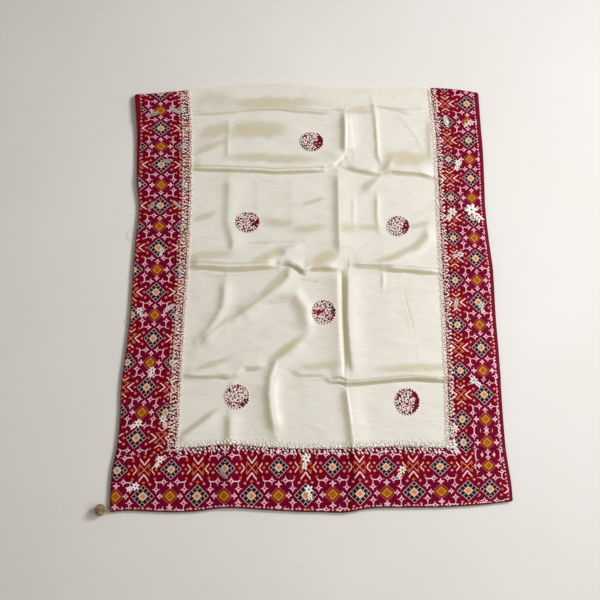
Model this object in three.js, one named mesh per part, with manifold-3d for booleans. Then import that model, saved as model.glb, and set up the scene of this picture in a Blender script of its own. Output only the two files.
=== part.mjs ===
// A silk saree, folded crosswise and laid flat with its printed pallu end uppermost.
// Millimetres. +X runs across the cloth, +Y from the pallu hem to the far fold, +Z up.
// The origin is the middle of the flat underside.

import * as THREE from 'three';
import { mergeVertices } from 'three/addons/utils/BufferGeometryUtils.js';
import Module from 'manifold-3d';

// ---- driving sizes ----

const CLOTH_WIDTH = 1120; // selvedge to selvedge
const SHOWN_LENGTH = 1330; // pallu hem to the far fold
const LEFT_BORDER = 166;
const RIGHT_BORDER = 152;
const PALLU_BORDER = 165;
const HALF_WIDTH = CLOTH_WIDTH / 2;
const LEFT_SEAM = -HALF_WIDTH + LEFT_BORDER;
const RIGHT_SEAM = HALF_WIDTH - RIGHT_BORDER;

const SILK = 1.2; // wall of every cloth piece
const GAP = 0.3; // between neighbouring pieces
const TRIM_HEIGHT = 1.6;
const DISC_HEIGHT = 1.2;
const LAYER = 1.9; // one hidden stretch, air and all
const LAYERS = 3;
const STACK_TOP = LAYER * LAYERS;
const LAID = STACK_TOP + 0.5; // underside of the top stretch where it lies flat
const SOFT_RELIEF = 1.6; // mean height of the top stretch over that
const FOLD_RADIUS = 4; // roll of the cloth at the far fold
const FOLD_TURN = 1.9; // radians that the roll turns through
const SWELL = { rise: 0.8, across: 71, up: 93 }; // slow rise and fall of the laid cloth
const ACROSS_STEP = 50; // widest mesh step across the cloth, and up it
const UP_STEP = 52;
const FLATNESS = 0.06;

const TRIM_FIELD_SIDE = 20; // reach of the worked edging on the field
const TRIM_BORDER_SIDE = 10;
const SCALLOP_PITCH = 48;
const SCALLOP_DEPTH = 5;
const FAR_CLEAR = 8; // from the edgings to the far fold
const PIPING_RADIUS = 1.5;

const LATKAN = { x: -581, y: -660, radius: 16.5, height: 30, bumps: 9 };
const KNOT_RADIUS = 2.1;
const THREAD_RADIUS = 1;

// Outline of the laid cloth: how far each edge and seam stands from the middle, going up the cloth.
const SIDES = [
  { v: 0, left: -555, leftSeam: -386, rightSeam: 400, right: 565 },
  { v: 57, left: -557, leftSeam: -385, rightSeam: 400, right: 564 },
  { v: 107, left: -556, leftSeam: -383, rightSeam: 399, right: 560 },
  { v: 169, left: -547, leftSeam: -381, rightSeam: 398, right: 556 },
  { v: 257, left: -544, leftSeam: -380, rightSeam: 400, right: 555 },
  { v: 357, left: -546, leftSeam: -380, rightSeam: 402, right: 556 },
  { v: 457, left: -539, leftSeam: -379, rightSeam: 404, right: 557 },
  { v: 557, left: -534, leftSeam: -377, rightSeam: 405, right: 556 },
  { v: 707, left: -534, leftSeam: -373, rightSeam: 405, right: 558 },
  { v: 817, left: -532, leftSeam: -373, rightSeam: 406, right: 552 },
  { v: 917, left: -528, leftSeam: -373, rightSeam: 407, right: 549 },
  { v: 1007, left: -539, leftSeam: -375, rightSeam: 408, right: 552 },
  { v: 1117, left: -546, leftSeam: -379, rightSeam: 408, right: 555 },
  { v: 1207, left: -551, leftSeam: -384, rightSeam: 406, right: 554 },
  { v: 1330, left: -565, leftSeam: -396, rightSeam: 399, right: 554 },
];

// The same from end to end, going across the cloth: hem, pallu seam and far fold.
const ENDS = [
  { u: -560, hem: -664, seam: -493, fold: 641 },
  { u: -517, hem: -660, seam: -493, fold: 646 },
  { u: -397, hem: -664, seam: -491, fold: 658 },
  { u: -327, hem: -662, seam: -487, fold: 666 },
  { u: -237, hem: -653, seam: -480, fold: 674 },
  { u: -127, hem: -658, seam: -488, fold: 681 },
  { u: -27, hem: -663, seam: -492, fold: 680 },
  { u: 33, hem: -664, seam: -492, fold: 673 },
  { u: 98, hem: -665, seam: -491, fold: 666 },
  { u: 173, hem: -654, seam: -489, fold: 665 },
  { u: 273, hem: -652, seam: -485, fold: 665 },
  { u: 373, hem: -651, seam: -489, fold: 668 },
  { u: 473, hem: -645, seam: -492, fold: 664 },
  { u: 560, hem: -635, seam: -494, fold: 650 },
];

// Folds, as they lie. Each runs along its path of [x, y] with a rise in mm, falling away over
// near on the right hand of the path and far on the left; crest 1 is pressed sharp, 2 is soft.
const FOLDS = [
  { name: 'across_far', rise: 2.6, near: 12, far: 26, crest: 1.2,
    path: [[-380, 581], [-240, 590], [-205, 597], [-120, 601], [-40, 593],
      [60, 585], [110, 590], [200, 603], [320, 588], [400, 598]] },
  { name: 'across_upper', rise: 7.5, near: 16, far: 56, crest: 1.4,
    path: [[-372, 388], [-250, 385], [-150, 381], [-110, 377], [0, 381],
      [48, 384], [78, 393], [102, 413], [120, 433]] },
  { name: 'across_upper_mid', rise: 5, near: 14, far: 50, crest: 1.4,
    path: [[112, 389], [150, 381], [200, 371], [226, 364]] },
  { name: 'across_upper_right', rise: 5, near: 18, far: 44, crest: 1.4,
    path: [[228, 364], [262, 376], [300, 372], [350, 368], [402, 354]] },
  { name: 'across_middle', rise: 8, near: 20, far: 56, crest: 1.3,
    path: [[-372, 68], [-300, 66], [-250, 62], [-200, 63], [-150, 66], [-92, 67]] },
  { name: 'across_middle_knot', rise: 7.5, near: 18, far: 40, crest: 1.3,
    path: [[-84, 69], [-60, 67], [-38, 58], [-15, 41], [4, 52], [40, 55], [96, 52]] },
  { name: 'across_middle_right', rise: 7, near: 20, far: 46, crest: 1.3,
    path: [[128, 58], [180, 58], [230, 56], [300, 53], [350, 48], [400, 46], [556, 38]] },
  { name: 'across_lower', rise: 5.5, near: 16, far: 50, crest: 1.4,
    path: [[-377, -280], [-300, -283], [-262, -278], [-236, -282],
      [-212, -275], [-190, -257], [-150, -256], [-118, -246]] },
  { name: 'across_lower_mid', rise: 3, near: 16, far: 40, crest: 1.4,
    path: [[-60, -266], [-20, -279], [30, -279], [62, -288]] },
  { name: 'across_lower_right', rise: 9, near: 16, far: 60, crest: 1.3,
    path: [[58, -291], [75, -288], [92, -286], [112, -296], [150, -295], [200, -290],
      [250, -285], [300, -282], [350, -286], [400, -287], [560, -291]] },
  { name: 'length_1', rise: 9, near: 30, far: 50, crest: 2, path: [[124, 583], [125, 503], [122, 428]] },
  { name: 'length_2', rise: 8, near: 34, far: 60, crest: 1.6, path: [[100, 368], [99, 233], [100, 93]] },
  { name: 'length_3_lip', rise: 5, near: 60, far: 10, crest: 1.4,
    path: [[90, 46], [91, -20], [92, -107], [96, -207], [99, -288]] },
  { name: 'length_3', rise: 7, near: 24, far: 70, crest: 1.6,
    path: [[120, 40], [117, -107], [122, -207], [130, -285]] },
  { name: 'length_4', rise: 8, near: 36, far: 60, crest: 1.8,
    path: [[112, -308], [120, -380], [128, -450], [133, -500], [141, -587], [115, -660]] },
  { name: 'length_5_far', rise: 2.5, near: 16, far: 20, crest: 1.2, path: [[-257, 553], [-259, 393]] },
  { name: 'length_5', rise: 6, near: 28, far: 56, crest: 1.7,
    path: [[-247, 353], [-248, 250], [-249, 200], [-240, 165], [-231, 130], [-238, 96]] },
  { name: 'length_6', rise: 2.5, near: 14, far: 10, crest: 1.3,
    path: [[132, 583], [139, 503], [146, 430], [152, 400]] },
  { name: 'length_6_mid', rise: 2, near: 16, far: 16, crest: 1.4,
    path: [[142, 290], [139, 230], [140, 170]] },
  { name: 'length_7_far', rise: 3.5, near: 14, far: 16, crest: 1.3,
    path: [[207, 633], [216, 570], [219, 480], [221, 420], [233, 384]] },
  { name: 'length_7_mid', rise: 2.5, near: 16, far: 20, crest: 1.3,
    path: [[214, 300], [213, 220], [216, 175], [224, 155]] },
  { name: 'length_7', rise: 2, near: 10, far: 10, crest: 1.3, path: [[228, 45], [223, -25]] },
  { name: 'length_8', rise: 6, near: 50, far: 30, crest: 1.7,
    path: [[-230, -657], [-230, -547], [-227, -482], [-226, -380]] },
  { name: 'slant_1', rise: 6.5, near: 24, far: 46, crest: 1.5,
    path: [[-58, 52], [-62, 15], [-88, -17], [-143, -57], [-193, -91], [-240, -118], [-330, -190]] },
  { name: 'slant_2', rise: 3, near: 16, far: 28, crest: 1.4,
    path: [[-190, -95], [-240, -140], [-275, -168]] },
  { name: 'slant_3', rise: 5.5, near: 28, far: 40, crest: 1.7,
    path: [[-253, 12], [-254, -50], [-260, -82], [-277, -116], [-298, -150], [-330, -176]] },
  { name: 'slant_4', rise: 5, near: 44, far: 22, crest: 1.8, path: [[-382, -482], [-262, -390]] },
  { name: 'slant_4_top', rise: 3, near: 30, far: 16, crest: 1.5, path: [[-240, -332], [-206, -286]] },
  { name: 'slant_5', rise: 3.5, near: 24, far: 26, crest: 1.5, path: [[168, 298], [215, 336], [226, 350]] },
  { name: 'slant_5_top', rise: 4.5, near: 30, far: 22, crest: 1.6,
    path: [[238, 370], [262, 398], [268, 418]] },
  { name: 'slant_6', rise: 4, near: 44, far: 28, crest: 1.7,
    path: [[225, 60], [275, 82], [325, 102], [367, 140], [368, 180]] },
  { name: 'slant_7', rise: 5, near: 40, far: 28, crest: 1.6, path: [[-88, 70], [-70, 98], [-15, 132]] },
  { name: 'slant_8', rise: 4.5, near: 18, far: 38, crest: 1.6, path: [[70, 58], [100, 90]] },
  { name: 'slant_9', rise: 2.5, near: 24, far: 16, crest: 1.4,
    path: [[-345, 452], [-312, 467], [-286, 487], [-240, 500]] },
  { name: 'bowl_rim', rise: 7, near: 52, far: 40, crest: 1.8,
    path: [[-217, -107], [-150, -52], [-90, -34], [-40, -34], [-10, -80], [-2, -150]] },
  { name: 'bowl_foot', rise: 8, near: 36, far: 50, crest: 1.8,
    path: [[-10, -178], [-50, -212], [-92, -248], [-106, -290], [-110, -340], [-104, -390], [-92, -450]] },
  { name: 'right_lift', rise: 3, near: 24, far: 30, crest: 1.8,
    path: [[396, 560], [394, 480], [393, 400]] },
  { name: 'far_left_lift', rise: 6, near: 60, far: 30, crest: 2,
    path: [[-556, 520], [-564, 600], [-570, 660]] },
  { name: 'left_lift', rise: 3, near: 50, far: 30, crest: 2, path: [[-536, 290], [-541, 370]] },
  { name: 'hem_lift', rise: 3.5, near: 30, far: 36, crest: 2, path: [[80, -664], [130, -664]] },
];
const FOLD_FADE = 36; // length over which a fold comes up from its ends

const DISCS = [
  { x: 11, y: 472, across: 76, along: 68 },
  { x: -189, y: 196, across: 76, along: 68 },
  { x: 278, y: 183, across: 70, along: 66 },
  { x: 45, y: -92, across: 72, along: 75 },
  { x: -209, y: -345, across: 72, along: 72 },
  { x: 284, y: -359, across: 72, along: 78 },
];

// Section of the hidden stretches, from the floor up: how far each level stands in from the cloth's
// edge at the sides, at the far end and at the pallu hem.
const STACK = [
  { z: 0, side: 9, far: 11, near: 14 },
  { z: 0.5, side: 7.5, far: 8, near: 10 },
  { z: 1.3, side: 7, far: 6.5, near: 8 },
  { z: 1.8, side: 8.6, far: 6, near: 7.4 },
  { z: 2.0, side: 8.6, far: 6, near: 7.2 },
  { z: 2.5, side: 5, far: 6.4, near: 7.4 },
  { z: 3.2, side: 4.6, far: 7.4, near: 8.4 },
  { z: 3.7, side: 6.6, far: 9.5, near: 10.5 },
  { z: 3.9, side: 6.8, far: 9.5, near: 10.5 },
  { z: 4.4, side: 4.4, far: 7.5, near: 7.5 },
  { z: 5.2, side: 4.2, far: 7.5, near: 7 },
  { z: STACK_TOP, side: 6, far: 9, near: 9 },
];

const wasm = await Module();
wasm.setup();

// ---- the laid cloth as a function of its flat sizes ----

/** Smooth curve through one column of a table, by cubic Hermite spans with slopes from the neighbours. */
function along(table, key, column, at) {
  let i = 1;
  while (i < table.length - 1 && at > table[i][key]) i += 1;
  const a = table[i - 1];
  const b = table[i];
  const span = b[key] - a[key];
  const t = (at - a[key]) / span;
  const slope = (k) => {
    const p = table[Math.max(k - 1, 0)];
    const q = table[Math.min(k + 1, table.length - 1)];
    return (q[column] - p[column]) / (q[key] - p[key]);
  };
  if (t < 0) return a[column] + slope(i - 1) * (at - a[key]);
  if (t > 1) return b[column] + slope(i) * (at - b[key]);
  const m0 = slope(i - 1) * span;
  const m1 = slope(i) * span;
  const t2 = t * t;
  const t3 = t2 * t;
  const start = a[column] * (2 * t3 - 3 * t2 + 1) + m0 * (t3 - 2 * t2 + t);
  return start + b[column] * (3 * t2 - 2 * t3) + m1 * (t3 - t2);
}

/** Straight line through [key, value] pairs, carried on past both ends. */
function between(pairs, at) {
  let i = 1;
  while (i < pairs.length - 1 && at > pairs[i][0]) i += 1;
  const [k0, v0] = pairs[i - 1];
  const [k1, v1] = pairs[i];
  return v0 + ((v1 - v0) * (at - k0)) / (k1 - k0);
}

/** Where the point u across and v up the flat cloth lies, seen from above. */
function lie(u, v) {
  const x = between([
    [-HALF_WIDTH, along(SIDES, 'v', 'left', v)],
    [LEFT_SEAM, along(SIDES, 'v', 'leftSeam', v)],
    [RIGHT_SEAM, along(SIDES, 'v', 'rightSeam', v)],
    [HALF_WIDTH, along(SIDES, 'v', 'right', v)],
  ], u);
  const y = between([
    [0, along(ENDS, 'u', 'hem', u)],
    [PALLU_BORDER, along(ENDS, 'u', 'seam', u)],
    [SHOWN_LENGTH, along(ENDS, 'u', 'fold', u)],
  ], v);
  return [x, y];
}

/** Height that one fold adds at a point: rise times exp(-(distance / reach) ^ crest), less at its ends. */
function foldHeight(fold, x, y) {
  let best = { distance: Infinity, side: 1, run: 0 };
  let length = 0;
  for (let i = 1; i < fold.path.length; i += 1) {
    const [ax, ay] = fold.path[i - 1];
    const [bx, by] = fold.path[i];
    const step = Math.hypot(bx - ax, by - ay);
    const t = THREE.MathUtils.clamp(((x - ax) * (bx - ax) + (y - ay) * (by - ay)) / step ** 2, 0, 1);
    const distance = Math.hypot(x - ax - t * (bx - ax), y - ay - t * (by - ay));
    const side = Math.sign((bx - ax) * (y - ay) - (by - ay) * (x - ax));
    if (distance < best.distance) best = { distance, side, run: length + t * step };
    length += step;
  }
  const reach = (best.side > 0 ? fold.far : fold.near) / 2;
  const end = Math.min(best.run, length - best.run) / FOLD_FADE;
  const fade = 0.35 + 0.65 * THREE.MathUtils.smoothstep(end, 0, 1);
  return fold.rise * fade * Math.exp(-((best.distance / reach) ** fold.crest));
}

/** Height of the top stretch's underside: the folds, by the root of their squares, and a slow swell over them. */
function relief(x, y) {
  const swell = SWELL.rise * Math.sin(x / SWELL.across + 1) * Math.sin(y / SWELL.up) + SOFT_RELIEF;
  const folds = Math.hypot(...FOLDS.map((fold) => foldHeight(fold, x, y)));
  return LAID + Math.log(1 + Math.exp(swell + folds));
}

/** A point of the top stretch's underside. Past the far fold the cloth rolls over and down. */
function onCloth(u, v) {
  const flat = SHOWN_LENGTH - FOLD_RADIUS;
  const [x, y] = lie(u, Math.min(v, flat));
  const z = relief(x, y);
  if (v <= flat) return new THREE.Vector3(x, y, z);
  const turn = (v - flat) / FOLD_RADIUS;
  return new THREE.Vector3(x, y + FOLD_RADIUS * Math.sin(turn), z - FOLD_RADIUS * (1 - Math.cos(turn)));
}

/** The same point moved out along the cloth's normal. */
function offCloth(u, v, out) {
  const e = 0.5;
  const du = onCloth(u + e, v).sub(onCloth(u - e, v));
  const dv = onCloth(u, v + e).sub(onCloth(u, v - e));
  return onCloth(u, v).addScaledVector(du.cross(dv).normalize(), out);
}

// ---- solids ----

/** Lines across a stretch: given stations, with the spans between them halved down to the step. */
function lines(stations, step) {
  const out = [stations[0]];
  for (let i = 1; i < stations.length; i += 1) {
    const count = Math.ceil((stations[i] - stations[i - 1]) / step);
    for (let k = 1; k <= count; k += 1) {
      out.push(stations[i - 1] + ((stations[i] - stations[i - 1]) * k) / count);
    }
  }
  return out;
}

const ACROSS = lines([
  -HALF_WIDTH, LEFT_SEAM, -268, -252, -236, -222, -118, -96, -60, 80, 92, 101, 112, 122, 142, 166,
  206, 218, 236, RIGHT_SEAM, HALF_WIDTH,
], ACROSS_STEP);
const UP = lines([
  0, PALLU_BORDER, 346, 358, 366, 376, 394, 424, 690, 702, 711, 720, 738, 772, 1008, 1020, 1030, 1042,
  1062, 1092, 1230, 1242, 1254, 1270, SHOWN_LENGTH - FOLD_RADIUS,
], UP_STEP);
const ROLL = [0.6, 1.2, FOLD_TURN].map((turn) => SHOWN_LENGTH - FOLD_RADIUS + turn * FOLD_RADIUS);

/** Faces of a closed tube: walls from ring to ring of as many points each, and a cap on both end rings. */
function closedFaces(rings, capFaces) {
  const n = rings[0].length;
  const faces = [];
  for (let r = 0; r + 1 < rings.length; r += 1) {
    for (let i = 0; i < n; i += 1) {
      const j = (i + 1) % n;
      const a = r * n + i;
      const b = r * n + j;
      faces.push(a, b, b + n, a, b + n, a + n);
    }
  }
  const last = (rings.length - 1) * n;
  capFaces.forEach(([a, b, c]) => faces.push(a, c, b, last + a, last + b, last + c));
  return faces;
}

/** Indexed geometry from points and faces. */
function geometryOf(points, faces) {
  const geometry = new THREE.BufferGeometry();
  const coordinates = points.flatMap((p) => [p.x, p.y, p.z]);
  geometry.setAttribute('position', new THREE.Float32BufferAttribute(coordinates, 3));
  geometry.setIndex(faces);
  return geometry;
}

/** A sheet over the whole cloth, from low to high above its underside. */
function sheetGeometry(low, high) {
  const rows = [...UP, ...ROLL];
  const nu = ACROSS.length;
  const nv = rows.length;
  const points = [];
  [low, high].forEach((out) => rows.forEach((v) => ACROSS.forEach((u) => points.push(offCloth(u, v, out)))));
  const faces = [];
  const top = nu * nv;
  for (let j = 0; j + 1 < nv; j += 1) {
    for (let i = 0; i + 1 < nu; i += 1) {
      const a = j * nu + i;
      const b = a + 1;
      const c = a + nu + 1;
      const d = a + nu;
      faces.push(top + a, top + b, top + c, top + a, top + c, top + d, a, c, b, a, d, c);
    }
  }
  const rim = [];
  for (let i = 0; i < nu - 1; i += 1) rim.push(i);
  for (let j = 0; j < nv - 1; j += 1) rim.push(j * nu + nu - 1);
  for (let i = nu - 1; i > 0; i -= 1) rim.push((nv - 1) * nu + i);
  for (let j = nv - 1; j > 0; j -= 1) rim.push(j * nu);
  rim.forEach((a, k) => {
    const b = rim[(k + 1) % rim.length];
    faces.push(a, b, top + b, a, top + b, top + a);
  });
  return geometryOf(points, faces);
}

/** Geometry to manifold solid. */
function solidOf(geometry) {
  const bare = geometry.clone();
  bare.deleteAttribute('normal');
  bare.deleteAttribute('uv');
  const merged = mergeVertices(bare, 1e-4);
  const vertProperties = new Float32Array(merged.attributes.position.array);
  const triVerts = new Uint32Array(merged.index.array);
  return new wasm.Manifold(new wasm.Mesh({ numProp: 3, vertProperties, triVerts }));
}

/** Manifold solid to geometry, with facets that are flat to within FLATNESS joined. */
function geometryFrom(solid) {
  const mesh = solid.simplify(FLATNESS).getMesh();
  const geometry = new THREE.BufferGeometry();
  geometry.setAttribute('position', new THREE.BufferAttribute(new Float32Array(mesh.vertProperties), 3));
  geometry.setIndex(new THREE.BufferAttribute(new Uint32Array(mesh.triVerts), 1));
  return geometry;
}

/** Upright cutter over an outline of [x, y] points, from under the cloth to over it. */
function cutter(outline) {
  const below = 20;
  const depth = 80;
  const shape = new THREE.Shape(outline.map(([x, y]) => new THREE.Vector2(x, y)));
  const block = new THREE.ExtrudeGeometry(shape, { depth, bevelEnabled: false });
  return solidOf(block.translate(0, 0, -below));
}

/** Outline of a patch of the flat cloth, as it lies. */
function patch(u0, u1, v0, v1) {
  const us = [u0, ...ACROSS.filter((u) => u > u0 + 1 && u < u1 - 1), u1];
  const vs = [v0, ...UP.filter((v) => v > v0 + 1 && v < v1 - 1), v1];
  return [
    ...us.slice(0, -1).map((u) => lie(u, v0)),
    ...vs.slice(0, -1).map((v) => lie(u1, v)),
    ...us.slice(1).reverse().map((u) => lie(u, v1)),
    ...vs.slice(1).reverse().map((v) => lie(u0, v)),
  ];
}

/** Scalloped line on the field side of a seam: reach in from the seam, in a row of round bites. */
function scallop(run) {
  return TRIM_FIELD_SIDE + SCALLOP_DEPTH * Math.abs(Math.sin((Math.PI * run) / SCALLOP_PITCH));
}

/** Stations along a trim: the tip and the foot of each scallop. */
function scallopStations(from, to) {
  const first = Math.ceil((2 * from) / SCALLOP_PITCH + 0.2);
  const last = Math.floor((2 * to) / SCALLOP_PITCH - 0.2);
  const inner = Array.from({ length: last - first + 1 }, (_, i) => ((first + i) * SCALLOP_PITCH) / 2);
  return [from, ...inner, to];
}

/** Outline of the edging along a side seam: inward is +1 on the left seam and -1 on the right. */
function sideTrim(seam, inward) {
  const ends = [PALLU_BORDER - TRIM_BORDER_SIDE, SHOWN_LENGTH - FAR_CLEAR];
  const field = scallopStations(...ends).map((v) => lie(seam + inward * scallop(v), v));
  const border = lines(ends, UP_STEP).reverse().map((v) => lie(seam - inward * TRIM_BORDER_SIDE, v));
  const outline = [...field, ...border];
  return inward > 0 ? outline : outline.reverse();
}

/** Outline of the edging along the pallu seam, between the two side ones. */
function pallTrim() {
  const clear = TRIM_FIELD_SIDE + SCALLOP_DEPTH + GAP;
  const ends = [LEFT_SEAM + clear, RIGHT_SEAM - clear];
  const border = lines(ends, ACROSS_STEP).map((u) => lie(u, PALLU_BORDER - TRIM_BORDER_SIDE));
  const field = scallopStations(...ends).reverse().map((u) => lie(u, PALLU_BORDER + scallop(u)));
  return [...border, ...field];
}

/** Round outline of a disc. */
function oval({ x, y, across, along: length }) {
  const sides = 24;
  const curve = new THREE.EllipseCurve(x, y, across / 2, length / 2);
  return curve.getPoints(sides).slice(0, -1).map((p) => [p.x, p.y]);
}

/** Rolled edge: a six-sided cord along edge points, each a Vector3. */
function piping(points) {
  const sides = 6;
  const rings = points.map((p, i) => {
    const before = points[Math.max(i - 1, 0)];
    const after = points[Math.min(i + 1, points.length - 1)];
    const ahead = after.clone().sub(before).normalize();
    const across = new THREE.Vector3(ahead.y, -ahead.x, 0).normalize();
    const up = across.clone().cross(ahead);
    return Array.from({ length: sides }, (_, k) => {
      const turn = (2 * Math.PI * k) / sides;
      return p.clone()
        .addScaledVector(across, PIPING_RADIUS * Math.cos(turn))
        .addScaledVector(up, -PIPING_RADIUS * Math.sin(turn));
    });
  });
  const cap = Array.from({ length: sides - 2 }, (_, k) => [0, k + 1, k + 2]);
  return geometryOf(rings.flat(), closedFaces(rings, cap));
}

/** Points of a rolled edge, just outside the cloth's edge at mid wall. */
function edgePoints(stations, place, outward) {
  const off = PIPING_RADIUS + GAP;
  return stations.map((s) => {
    const p = place(s);
    return new THREE.Vector3(p.x + outward.x * off, p.y + outward.y * off, p.z + SILK / 2);
  });
}

/** Hidden stretches: one ring for each row of the section table, with round corners. */
function stackGeometry() {
  const cornerRadius = 5;
  const rings = STACK.map(({ z, side, far, near }) => {
    const straightU = ACROSS.filter((_, i) => i % 3 === 0).filter((u) => Math.abs(u) < HALF_WIDTH - 30);
    const straightV = UP.filter((_, i) => i % 3 === 0).filter((v) => v > 30 && v < SHOWN_LENGTH - 30);
    const corner = (cu, cv, start) => [0, 0.25, 0.5, 0.75, 1].map((t) => {
      const turn = start + (t * Math.PI) / 2;
      return [cu + cornerRadius * Math.cos(turn), cv + cornerRadius * Math.sin(turn)];
    });
    const u1 = HALF_WIDTH - side;
    const v1 = SHOWN_LENGTH - far;
    const outline = [
      ...corner(-u1 + cornerRadius, near + cornerRadius, Math.PI),
      ...straightU.map((u) => [u, near]),
      ...corner(u1 - cornerRadius, near + cornerRadius, 1.5 * Math.PI),
      ...straightV.map((v) => [u1, v]),
      ...corner(u1 - cornerRadius, v1 - cornerRadius, 0),
      ...[...straightU].reverse().map((u) => [u, v1]),
      ...corner(-u1 + cornerRadius, v1 - cornerRadius, 0.5 * Math.PI),
      ...[...straightV].reverse().map((v) => [-u1, v]),
    ];
    return outline.map(([u, v]) => new THREE.Vector3(...lie(u, v), z));
  });
  const cap = THREE.ShapeUtils.triangulateShape(rings[0].map((p) => new THREE.Vector2(p.x, p.y)), []);
  return geometryOf(rings.flat(), closedFaces(rings, cap));
}

/** Wound ball, its radius swelling in even bumps: a lathe whose points are moved out along the radius. */
function latkanGeometry() {
  const half = LATKAN.height / 2;
  const profile = Array.from({ length: 9 }, (_, i) => {
    const turn = (Math.PI * i) / 8 - Math.PI / 2;
    return new THREE.Vector2(Math.max(LATKAN.radius * Math.cos(turn), 0), half * Math.sin(turn));
  });
  const ball = new THREE.LatheGeometry(profile, LATKAN.bumps * 2);
  const position = ball.attributes.position;
  for (let i = 0; i < position.count; i += 1) {
    const x = position.getX(i);
    const z = position.getZ(i);
    const swell = 1 + 0.035 * Math.cos(LATKAN.bumps * Math.atan2(z, x));
    position.setXYZ(i, x * swell, position.getY(i), z * swell);
  }
  ball.rotateX(Math.PI / 2);
  ball.translate(LATKAN.x, LATKAN.y, half);
  return geometryFrom(solidOf(ball));
}

/** Short thread through three points. */
function threadGeometry(points) {
  const section = new THREE.Shape();
  section.absarc(0, 0, THREAD_RADIUS, 0, 2 * Math.PI);
  const extrudePath = new THREE.CatmullRomCurve3(points);
  return new THREE.ExtrudeGeometry(section, { steps: 6, extrudePath, curveSegments: 4 });
}

// ---- the saree ----

const MAGENTA = { color: 0x8a0a44, roughness: 0.55 };
const CREAM = { color: 0xe2dcd0, roughness: 0.4 };
const IVORY = { color: 0xf1ebe0, roughness: 0.6 };
const MAROON = { color: 0x5a1226, roughness: 0.6 };
const GOLD = { color: 0xb59a6e, roughness: 0.55 };

const saree = new THREE.Group();

/** Adds a named piece. */
function add(name, geometry, finish) {
  const mesh = new THREE.Mesh(geometry, new THREE.MeshStandardMaterial({ ...finish, metalness: 0 }));
  mesh.name = name;
  saree.add(mesh);
}

const seamHalf = GAP / 2;
const past = 30; // how far a cutter goes beyond the cloth's edges
const sides = [-HALF_WIDTH - past, LEFT_SEAM - seamHalf, LEFT_SEAM + seamHalf];
sides.push(RIGHT_SEAM - seamHalf, RIGHT_SEAM + seamHalf, HALF_WIDTH + past);
const nearSeam = PALLU_BORDER + seamHalf;
const beyond = SHOWN_LENGTH + past;
const cloth = solidOf(sheetGeometry(0, SILK));
const panels = [
  ['field', patch(sides[2], sides[3], nearSeam, beyond), CREAM],
  ['border_left', patch(sides[0], sides[1], nearSeam, beyond), MAGENTA],
  ['border_right', patch(sides[4], sides[5], nearSeam, beyond), MAGENTA],
  ['border_pallu', patch(sides[0], sides[5], -past, PALLU_BORDER - seamHalf), MAGENTA],
];
panels.forEach(([name, outline, finish]) => {
  const panel = cloth.intersect(cutter(outline));
  add(name, geometryFrom(panel), finish);
});

const trimSheet = solidOf(sheetGeometry(SILK + GAP, SILK + GAP + TRIM_HEIGHT));
add('trim_left', geometryFrom(trimSheet.intersect(cutter(sideTrim(LEFT_SEAM, 1)))), IVORY);
add('trim_right', geometryFrom(trimSheet.intersect(cutter(sideTrim(RIGHT_SEAM, -1)))), IVORY);
add('trim_pallu', geometryFrom(trimSheet.intersect(cutter(pallTrim()))), IVORY);

const discSheet = solidOf(sheetGeometry(SILK + GAP, SILK + GAP + DISC_HEIGHT));
DISCS.forEach((disc, i) => {
  const round = discSheet.intersect(cutter(oval(disc)));
  add(`disc_${i + 1}`, geometryFrom(round), MAGENTA);
});

const sideStations = [2, ...UP.slice(1, -1), SHOWN_LENGTH - FOLD_RADIUS - 2];
const hemStations = [-HALF_WIDTH, ...ACROSS.slice(1, -1), HALF_WIDTH];
add('piping_left', piping(edgePoints(sideStations, (v) => onCloth(-HALF_WIDTH, v), { x: -1, y: 0 })), MAROON);
add('piping_right', piping(edgePoints(sideStations, (v) => onCloth(HALF_WIDTH, v), { x: 1, y: 0 })), MAROON);
add('piping_hem', piping(edgePoints(hemStations, (u) => onCloth(u, 0), { x: 0, y: -1 })), MAROON);

add('folded_layers', stackGeometry(), CREAM);

// The ball lies beside the near left corner, its knot against its side and its thread over to the piping.
const corner = onCloth(-HALF_WIDTH, 0);
const knot = new THREE.Vector3(LATKAN.x + LATKAN.radius + KNOT_RADIUS + GAP, LATKAN.y, LATKAN.height / 2 + 1);
const thread = [
  knot.clone().add(new THREE.Vector3(0, -KNOT_RADIUS - GAP, -0.5)),
  knot.clone().add(new THREE.Vector3(1.1, -KNOT_RADIUS - 2.6, -3)),
  corner.clone().add(new THREE.Vector3(-2.2, -2.3, 1.2)),
];
const knotBall = new THREE.SphereGeometry(KNOT_RADIUS, 8, 6).translate(knot.x, knot.y, knot.z);
add('latkan', latkanGeometry(), GOLD);
add('latkan_knot', geometryFrom(solidOf(knotBall)), GOLD);
add('latkan_thread', geometryFrom(solidOf(threadGeometry(thread))), GOLD);

export default saree;
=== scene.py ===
"""A silk saree, folded crosswise and laid flat on a pale floor with its printed pallu end uppermost.

Sizes are in millimetres here and turned into metres when a mesh is made. x runs across the cloth, y from
the pallu hem to the far fold and z up. u and v are the same two ways along the flat, unfolded cloth.
"""

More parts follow.
